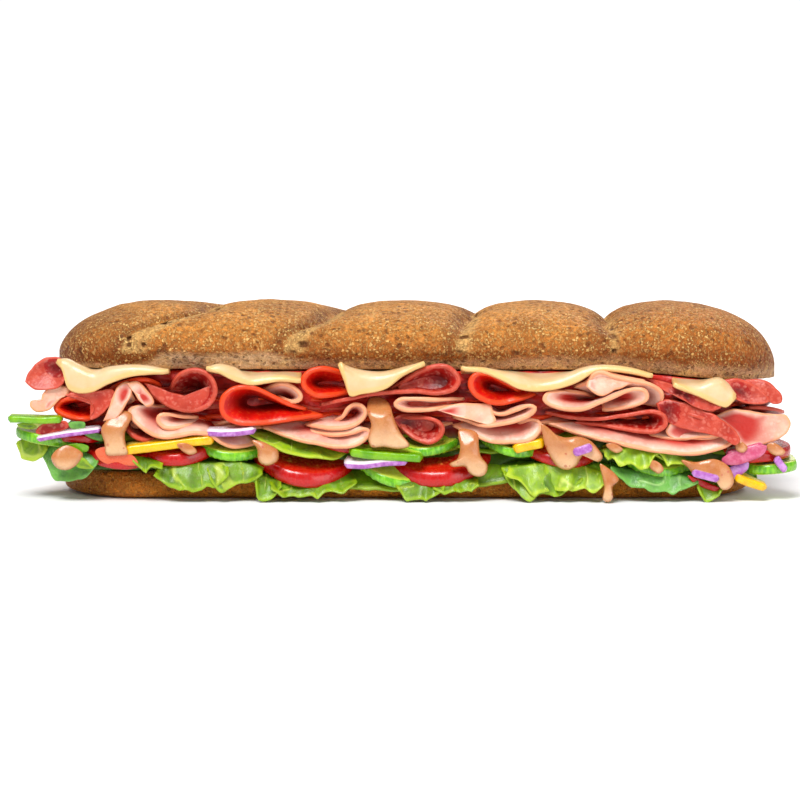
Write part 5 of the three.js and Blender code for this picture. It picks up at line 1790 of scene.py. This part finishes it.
# Broad parts of slices that are turned to the front.
FACES = (
    Face("ham_face_far_left", ((68, 389), (57, 386), (48, 389), (42, 396), (39, 402), (30, 402), (29, 407),
        (36, 413), (46, 412), (53, 407), (60, 400), (68, 396)), back=41.6, lean=0.2, cup=0.3,
        deep=(52, 408, 8)),
    Face("salami_face_far_left", ((24, 383), (28, 373), (36, 364), (46, 359), (58, 359), (64, 364), (66, 377),
        (60, 387), (45, 391), (31, 389)), back=41, lean=0.3, turn=-0.1, cup=1.6, deep=(56, 366, 14)),
    Face("salami_face_roll", ((64, 396), (78, 391), (96, 391), (112, 390), (116, 396), (108, 408), (98, 418),
        (90, 420), (94, 410), (90, 401), (78, 397)), back=45.4, lean=0.1),
    Face("salami_face_loop", ((143, 383), (153, 386), (166, 391), (181, 395), (197, 396), (209, 392),
        (215, 384), (218, 390), (215, 399), (207, 407), (196, 411), (181, 411), (167, 406), (154, 396)),
        back=45.6, lean=0.25, cup=-0.5),
    Face("ham_face_arch", ((103, 421), (109, 407), (113, 394), (119, 385), (127, 382), (132, 385), (131, 395),
        (125, 407), (115, 419)), back=46, lean=0.1, cup=-0.8, deep=(128, 396, 14)),
    Face("ham_face_arch_side", ((126, 382), (137, 382), (147, 391), (154, 403), (147, 407), (139, 401),
        (133, 392)), back=45.6, lean=0.1, turn=0.15, cup=-0.5, deep=(150, 404, 26)),
    Face("ham_face_middle", ((436, 410), (450, 405), (464, 403), (478, 404), (491, 405), (493, 413),
        (496, 421), (491, 425), (478, 422), (462, 418), (448, 414)), back=46.6, lean=0.3, cup=0.4,
        deep=(438, 411, 30)),
    Face("ham_face_crest", ((586, 387), (590, 375), (598, 367), (606, 370), (618, 374), (632, 377),
        (646, 381), (632, 384), (616, 390), (600, 396)), back=45.8, lean=0.35, cup=-0.6, deep=(586, 388, 12)),
    Face("salami_face_right", ((644, 378), (658, 381), (675, 386), (700, 395), (716, 402), (723, 406),
        (712, 411), (698, 408), (682, 400), (664, 391)), back=44.8, lean=0.3, cup=0.5, deep=(682, 396, 14)),
    Face("salami_face_band", ((656, 404), (666, 400), (684, 403), (704, 410), (722, 419), (735, 430),
        (740, 440), (735, 445), (726, 439), (708, 434), (688, 430), (670, 424), (660, 414)), back=46.3,
        lean=0.25, turn=-0.08, cup=0.2, deep=(660, 410, 22)),
    Face("ham_face_shade", ((671, 424), (686, 427), (706, 432), (724, 435), (716, 440), (694, 441),
        (674, 440), (666, 432)), back=44.2, lean=-0.1, cup=0.8, deep=(684, 418, 34)),
    Face("salami_face_end_low", ((722, 381), (738, 379), (752, 384), (762, 391), (770, 401), (762, 405),
        (748, 405), (734, 399)), back=42.4, lean=0.3, cup=0.4, deep=(738, 396, 14)),
    Face("salami_face_end", ((746, 381), (764, 381), (775, 387), (783, 397), (782, 404), (773, 405),
        (764, 396), (754, 388)), back=41.6, lean=0.3, cup=-0.3),
    Face("ham_face_end", ((716, 417), (730, 411), (750, 412), (770, 415), (787, 417), (792, 425), (788, 434),
        (776, 442), (760, 447), (744, 449), (737, 443), (730, 432)), back=42.2, lean=0.1, cup=0.8,
        deep=(734, 424, 46)),
)

# Far walls of three hollows, where the light reaches in.
HOLLOWS = (
    Face("salami_face_hollow", ((398, 388), (404, 380), (416, 372), (430, 366), (444, 366), (455, 372),
        (459, 382), (453, 391), (436, 393), (415, 393)), back=42.6, lean=0.2, cup=1.6, deep=(448, 388, 26)),
    Face("salami_face_roll_inside", ((392, 420), (404, 416), (422, 417), (437, 421), (444, 431), (439, 441),
        (428, 446), (414, 441), (402, 433)), back=41.2, lean=0.2, cup=1.5, deep=(402, 422, 22)),
    Face("salami_face_fold_inside", ((397, 405), (402, 401), (416, 400), (436, 401), (458, 402), (448, 406),
        (430, 409), (412, 411), (401, 409)), back=42.0, lean=0.2, cup=0.6, deep=(400, 405, 10)),
)

# Small cuttings that show between the larger pieces.
CHIPS = (
    Patch("tomato_cut_left", ((95, 451), (104, 447), (120, 450), (133, 456), (138, 465), (124, 466),
        (108, 465), (99, 460)), back=46.3, bulge=0.8, kind="tomato_pale", peel=0.0, radial=0.4),
    Patch("salami_wedge", ((35, 432), (42, 425), (66, 422), (68, 428), (52, 434), (38, 437)), back=43.4,
        bulge=0.9, kind="salami"),
    Patch("pepper_chip_left", ((68, 424), (84, 423), (84, 429), (70, 429)), back=43.6, bulge=0.8,
        kind="spinach"),
    Patch("cucumber_chip", ((84, 435), (94, 433), (103, 437), (103, 442), (92, 440)), back=44, bulge=0.9,
        kind="spinach"),
    Patch("leaf_chip_far_left", ((16, 425), (26, 424), (36, 427), (32, 430), (20, 429)), back=42.6, bulge=0.7,
        kind="lettuce"),
    Patch("pepper_chip_low", ((66, 446), (76, 444), (88, 447), (87, 452), (76, 453)), back=44.4, bulge=0.8,
        kind="green_pepper"),
    Patch("leaf_chip_left", ((75, 462), (80, 457), (86, 459), (90, 464), (94, 468), (84, 469), (77, 467)),
        back=48.2, bulge=0.9, kind="lettuce"),
    Patch("tomato_chip_right", ((688, 476), (700, 480), (712, 485), (722, 490), (720, 494), (707, 490),
        (694, 484)), back=44.6, bulge=1.2, kind="tomato"),
    Patch("onion_leaf_right", ((722, 460), (734, 452), (750, 448), (767, 446), (764, 455), (750, 462),
        (735, 466), (726, 465)), back=45.6, bulge=0.9, kind="onion_pink"),
    Patch("onion_leaf_low", ((729, 470), (740, 465), (749, 463), (749, 470), (741, 477), (733, 481)),
        back=43.2, bulge=0.9, kind="onion"),
)

LOOSE_STRIPS = (
    CutStrip("onion_on_sauce", line=((573, 452), (582, 449), (592, 446)), tall=3.6, wide=3, middle=-51.2),
    CutStrip("onion_in_sauce", line=((692, 472), (703, 475), (719, 479)), tall=3.2, wide=3, middle=-49.4),
)


class Palette:
    """Every finish of the sandwich."""

    def __init__(self) -> None:
        """Builds the materials."""
        juicy = Surface(roughness=0.38, see_in=0.12, see_in_depth=0.0012, specular=0.28, coat=0.1, bump=0.4)
        # Each meat's second colour is its darker tone for the patches and also its painted shade deep in the
        # folds; the ham's last two numbers set where that shade starts and ends.
        self.ham = MeatFinish("ham", srgb(232, 188, 166), srgb(182, 24, 14), srgb(244, 214, 200),
                              srgb(240, 160, 112), 330, 0.22, 0.35, 0.7, 0.8, 0.95, juicy, 1.5, 10).make()
        self.salami = MeatFinish("salami", srgb(166, 20, 10), srgb(92, 2, 4), srgb(232, 150, 130),
                                 srgb(208, 88, 64), 430, 0.34, 0.44, 0.9, 0.65, 0.95, juicy).make()
        self.pepperoni = MeatFinish("pepperoni", srgb(204, 12, 2), srgb(96, 0, 0), srgb(236, 90, 30),
                                    srgb(234, 78, 30), 520, 0.26, 0.3, 0.9, 0.75, 0.97, juicy).make()
        self.packed = PackedFinish("packed", srgb(206, 40, 26), srgb(130, 8, 8), srgb(60, 92, 8),
                                   juicy).make()
        creamy = Surface(roughness=0.36, see_in=0.15, see_in_depth=0.003, coat=0.25, bump=0.15)
        self.cheese = SoftFinish("cheese", srgb(222, 190, 148), srgb(216, 178, 124), srgb(232, 186, 104),
                                 srgb(240, 220, 180), 0.2, creamy).make()
        glossy = Surface(roughness=0.26, see_in=0.1, see_in_depth=0.0015, coat=0.3, bump=0.14)
        # The sauce's last colour is its painted highlight on the drops.
        self.sauce = SoftFinish("sauce", srgb(192, 128, 76), srgb(180, 108, 58), srgb(184, 110, 58),
                                srgb(170, 40, 16), 0.6, glossy, srgb(244, 208, 160)).make()
        wet = Surface(roughness=0.24, see_in=0.08, see_in_depth=0.0015, specular=0.45, coat=0.35, bump=0.2)
        self.tomato = RoundFinish("tomato", srgb(188, 8, 6), srgb(128, 2, 2), srgb(190, 20, 8),
                                  srgb(206, 52, 26), srgb(226, 150, 70), 0.7, 0.12, wet).make()
        self.tomato_pale = RoundFinish("tomato_pale", srgb(206, 30, 14), srgb(170, 14, 6), srgb(222, 76, 38),
                                       srgb(226, 96, 52), srgb(236, 190, 110), 0.5, 0.12, wet).make()
        self.cucumber = RoundFinish("cucumber", srgb(130, 198, 34), srgb(66, 150, 16), srgb(184, 208, 60),
                                    srgb(196, 206, 80), srgb(216, 214, 150), 0.25, 0.8, wet).make()
        self.green_pepper = StripFinish("green_pepper", srgb(124, 180, 2), srgb(92, 156, 2),
                                        srgb(184, 216, 60), 200, wet).make()
        self.yellow_pepper = StripFinish("yellow_pepper", srgb(242, 190, 4), srgb(230, 166, 2),
                                         srgb(240, 216, 90), 200, wet).make()
        self.onion = StripFinish("onion", srgb(160, 82, 170), srgb(196, 140, 206), srgb(234, 218, 226), 420,
                                 wet).make()
        self.onion_pink = StripFinish("onion_pink", srgb(190, 66, 104), srgb(206, 106, 138),
                                      srgb(234, 190, 200), 420, wet).make()
        leaf = Surface(roughness=0.38, see_in=0.05, see_in_depth=0.001, specular=0.4, coat=0.15, bump=0.8,
                       bump_depth=0.0007)
        # Each leaf's second colour is its painted shade.
        self.lettuce = LeafFinish("lettuce", srgb(102, 146, 2), srgb(34, 82, 2), srgb(194, 210, 72),
                                  srgb(156, 188, 20), 0.6, leaf).make()
        self.lettuce_pale = LeafFinish("lettuce_pale", srgb(140, 178, 12), srgb(74, 126, 2),
                                       srgb(214, 228, 112), srgb(188, 210, 48), 0.6, leaf).make()
        self.spinach = LeafFinish("spinach", srgb(98, 164, 62), srgb(36, 102, 24), srgb(176, 216, 134),
                                  srgb(120, 180, 76), 0.5, leaf).make()
        baked = Surface(roughness=0.6, specular=0.25, bump=1.0, bump_depth=0.0008)
        # The crust's first two colours, crown and side, are partly baked colour and partly painted light from
        # above.
        self.crust = CrustFinish("crust", srgb(232, 154, 66), srgb(168, 86, 18), srgb(88, 34, 4),
                                 srgb(250, 204, 126), srgb(250, 212, 166), baked).make()
        smoother = replace(baked, bump_depth=0.0006)
        self.heel = CrustFinish("heel", srgb(234, 144, 30), srgb(228, 134, 24), srgb(110, 52, 4),
                                srgb(206, 146, 66), srgb(170, 124, 70), smoother).make()


# Finishes whose material slot has another name, or none.
SLOTS = {"spinach": "lettuce", "lettuce_pale": "lettuce", "onion_pink": "onion", "tomato_pale": "tomato",
         "sauce": "", "packed": ""}


class Sandwich:
    """The whole sandwich, from the bottom half up to the top half."""

    def __init__(self, palette: Palette) -> None:
        """Keeps the finishes."""
        self.palette = palette
        self.seed = 100

    def _next(self) -> int:
        """Gives a new seed for the next piece."""
        self.seed += 7
        return self.seed

    def _lay(self, shape: Shape, kind: str, nodes: Sequence[str] = (), name: str = "") -> None:
        """Builds a filling and lays it."""
        finish = getattr(self.palette, kind)
        shape.body(self._next()).piece(name or shape.name, finish, nodes, SLOTS.get(kind, kind))

    def _stand(self, shape: Shape, kind: str) -> None:
        """Lays a filling that stands for the solid of its own name."""
        self._lay(shape, kind, [shape.name], f"{shape.name}_look")

    def roll(self) -> None:
        """Lays both halves of the roll."""
        roll = Roll()
        roll.top_half().piece("roll_top", self.palette.crust, ["top_bun"], "crust")
        roll.bottom_half().piece("roll_bottom", self.palette.heel, ["bottom_bun"], "crust")

    def cheeses(self) -> None:
        """Drapes the cheese under the top half."""
        for slice_ in CHEESES:
            self._stand(slice_, "cheese")

    def meats(self) -> None:
        """Folds the meats."""
        for fold in MEATS:
            self._stand(fold, fold.name.split("_")[0])
        for face in FACES:
            self._lay(face, face.name.split("_")[0])
        self._tucked()
        for wall in (PackedFilling("packed_front", -1), PackedFilling("packed_back", 1)):
            self._lay(wall, "packed")
        self._lay(SLIVERS["ham_outer"], "salami", ["ham_outer"])

    def _tucked(self) -> None:
        """Tucks rows of wavy slices in behind the folds."""
        number = 0
        half = TUCKED_LENGTH / 2
        for kind, row, first, last, front, closing in TUCKED:
            for column in np.arange(first, last, TUCKED_STEP):
                number += 1
                wave = 4.0 * math.sin(number * 2.4)
                tilt = 0.08 * math.sin(number * 1.3)
                top = DRAWING.table_row - (DRAWING.roof_at(DRAWING.across(column)) - 3) / DRAWING.step
                line = [(column + d * half,
                         max(row + wave * math.sin(2.6 * d + number) + tilt * d * half, top))
                        for d in (-1, -0.6, -0.2, 0.2, 0.6, 1)]
                self._lay(FoldedSlice(f"tucked_{kind}_{number}", line,
                                      front=front + 1.2 * math.sin(number * 1.9), closing=closing,
                                      toward=(column, row - 16), detail=COARSE), kind)

    def rounds(self) -> None:
        """Lays the tomato and cucumber slices."""
        for kind, slices in (("tomato", TOMATOES), ("cucumber", CUCUMBERS)):
            for slice_ in slices:
                self._stand(slice_, kind)
        for host in ("onion_1", "green_pepper_2"):
            self._lay(SLIVERS[host], "tomato", [host])
        self._back_piles()

    def _back_piles(self) -> None:
        """Lays the slices that show at the back rim."""
        for number, (column, row, radius) in enumerate(BACK_PILES, 1):
            height = BED.thick / 2
            for kind, thick, aside, share, crinkle in (("tomato", TOMATO_THICK, 0, 1.0, 0),
                                                       ("cucumber", CUCUMBER_THICK, 20, 0.85, CRINKLES)):
                size = radius * share
                middle_row = row - (height + thick / 2 - 0.5) / DRAWING.step
                slice_ = RoundSlice(f"back_{kind}_{number}", column + aside, middle_row, 0, size, thick,
                                    crinkle=crinkle, middle=DRAWING.rim_half - 1 - size)
                self._lay(slice_, kind, ["salad_bed"])
                height += thick - 0.5

    def strips(self) -> None:
        """Lays the pepper and onion strips."""
        for strip in STRIPS:
            self._stand(strip, "onion_pink" if strip.name == "onion_4" else strip.name.rsplit("_", 1)[0])
        self._lay(SLIVERS["cucumber_7"], "onion", ["cucumber_7"])

    def leaves(self) -> None:
        """Lays the salad bed, its flaps and the lettuce strips."""
        for leaf in (BED, *FLAPS):
            self._lay(leaf, getattr(leaf, "kind", "lettuce"), ["salad_bed"])
        for leaf in LETTUCE_STRIPS:
            self._stand(leaf, "lettuce_pale")

    def chips(self) -> None:
        """Lays the small cuttings that show between the larger pieces."""
        for chip in CHIPS:
            self._lay(chip, chip.kind)
        for strip in LOOSE_STRIPS:
            self._lay(strip, "onion")

    def sauces(self) -> None:
        """Pours the sauce."""
        for run in FUSED_SAUCE:
            self._lay(run, "sauce", [run.host])
        for run in THIN_SAUCE:
            self._lay(run, "sauce")

    def hollows(self) -> None:
        """Lays the far walls of the hollows."""
        for face in HOLLOWS:
            self._lay(face, "salami")

    def make(self) -> None:
        """Lays everything."""
        self.roll()
        self.cheeses()
        self.meats()
        self.rounds()
        self.strips()
        self.leaves()
        self.chips()
        self.sauces()
        self.hollows()


@dataclass(frozen=True)
class Studio:
    """A pale floor, soft lights and the camera."""

    elevation: float = 6.0
    distance: float = 2.3
    lens: float = 246.4
    sensor: float = 36.0
    aim_depth: float = -46.0
    aim_row: float = 400.0
    room_light: float = 0.35
    room_seen: float = 1.05
    sun_from: Sequence[float] = (-0.28, -0.8, 1.15)
    sun_strength: float = 3.45
    sun_spread: float = 30.0
    floor_half: float = 6.0

    def floor(self) -> None:
        """Lays the floor."""
        mesh = bpy.data.meshes.new("floor")
        corners = [(x * self.floor_half, y * self.floor_half, 0)
                   for x, y in ((-1, -1), (1, -1), (1, 1), (-1, 1))]
        mesh.from_pydata(corners, [], [(0, 1, 2, 3)])
        material, bench = new_material("floor")
        shade = bench.blend(bench.mask(Effect.MOTTLE, Scale=3.0, Low=0.2, High=0.8),
                            (0.93, 0.93, 0.93), (0.92, 0.92, 0.92))
        Surface(roughness=0.7, specular=0.2).finish(bench, shade, None)
        mesh.materials.append(material)
        made = bpy.data.objects.new("floor", mesh)
        bpy.context.scene.collection.objects.link(made)

    @staticmethod
    def _stand(data: bpy.types.ID, place: Vector, way: Vector) -> bpy.types.Object:
        """Stands a light or a camera in the studio.

        Args:
            data: The light or camera.
            place: Where it stands, in metres.
            way: Where it looks.

        Returns:
            The new object.
        """
        made = bpy.data.objects.new(data.name, data)
        made.location = place
        made.rotation_mode = "QUATERNION"
        made.rotation_quaternion = way.to_track_quat("-Z", "Y")
        bpy.context.scene.collection.objects.link(made)
        return made

    def lights(self) -> None:
        """Hangs the lights."""
        sun = bpy.data.lights.new("key", "SUN")
        sun.energy = self.sun_strength
        sun.angle = math.radians(self.sun_spread)
        self._stand(sun, Vector(), -Vector(self.sun_from))
        for name, place, size, watts in (("fill", (0.9, -1.1, 0.3), 0.8, 5),
                                         ("back", (0.3, 0.9, 0.9), 0.7, 5)):
            lamp = bpy.data.lights.new(name, "AREA")
            lamp.size = size
            lamp.energy = watts
            self._stand(lamp, Vector(place), Vector((0, 0, 0.04)) - Vector(place))
        world = bpy.data.worlds.new("room")
        world.use_nodes = True
        bench = Bench(world.node_tree)
        seen = bench.node("ShaderNodeLightPath").outputs["Is Camera Ray"]
        strength = bench.plus(bench.times(seen, self.room_seen - self.room_light), self.room_light)
        room = world.node_tree.nodes["Background"]
        bench.feed(room.inputs["Color"], (1, 1, 1))
        bench.feed(room.inputs["Strength"], strength)
        bpy.context.scene.world = world

    def camera(self) -> None:
        """Sets the camera in front."""
        data = bpy.data.cameras.new("camera")
        data.lens = self.lens
        data.sensor_width = self.sensor
        aim = Vector((SHIFT + np.array([0, self.aim_depth, DRAWING.up(self.aim_row)])) / 1000)
        tilt = math.radians(self.elevation)
        place = aim + Vector((0, -math.cos(tilt), math.sin(tilt))) * self.distance
        bpy.context.scene.camera = self._stand(data, place, aim - place)

    def make(self) -> None:
        """Sets the studio."""
        self.floor()
        self.lights()
        self.camera()
        bpy.context.scene.view_settings.view_transform = "Standard"


def main() -> None:
    """Makes the sandwich and its studio."""
    logging.basicConfig(level=logging.INFO, format="%(message)s")
    Sandwich(Palette()).make()
    Studio().make()
    bpy.context.view_layer.update()


if __name__ == "__main__":
    main()
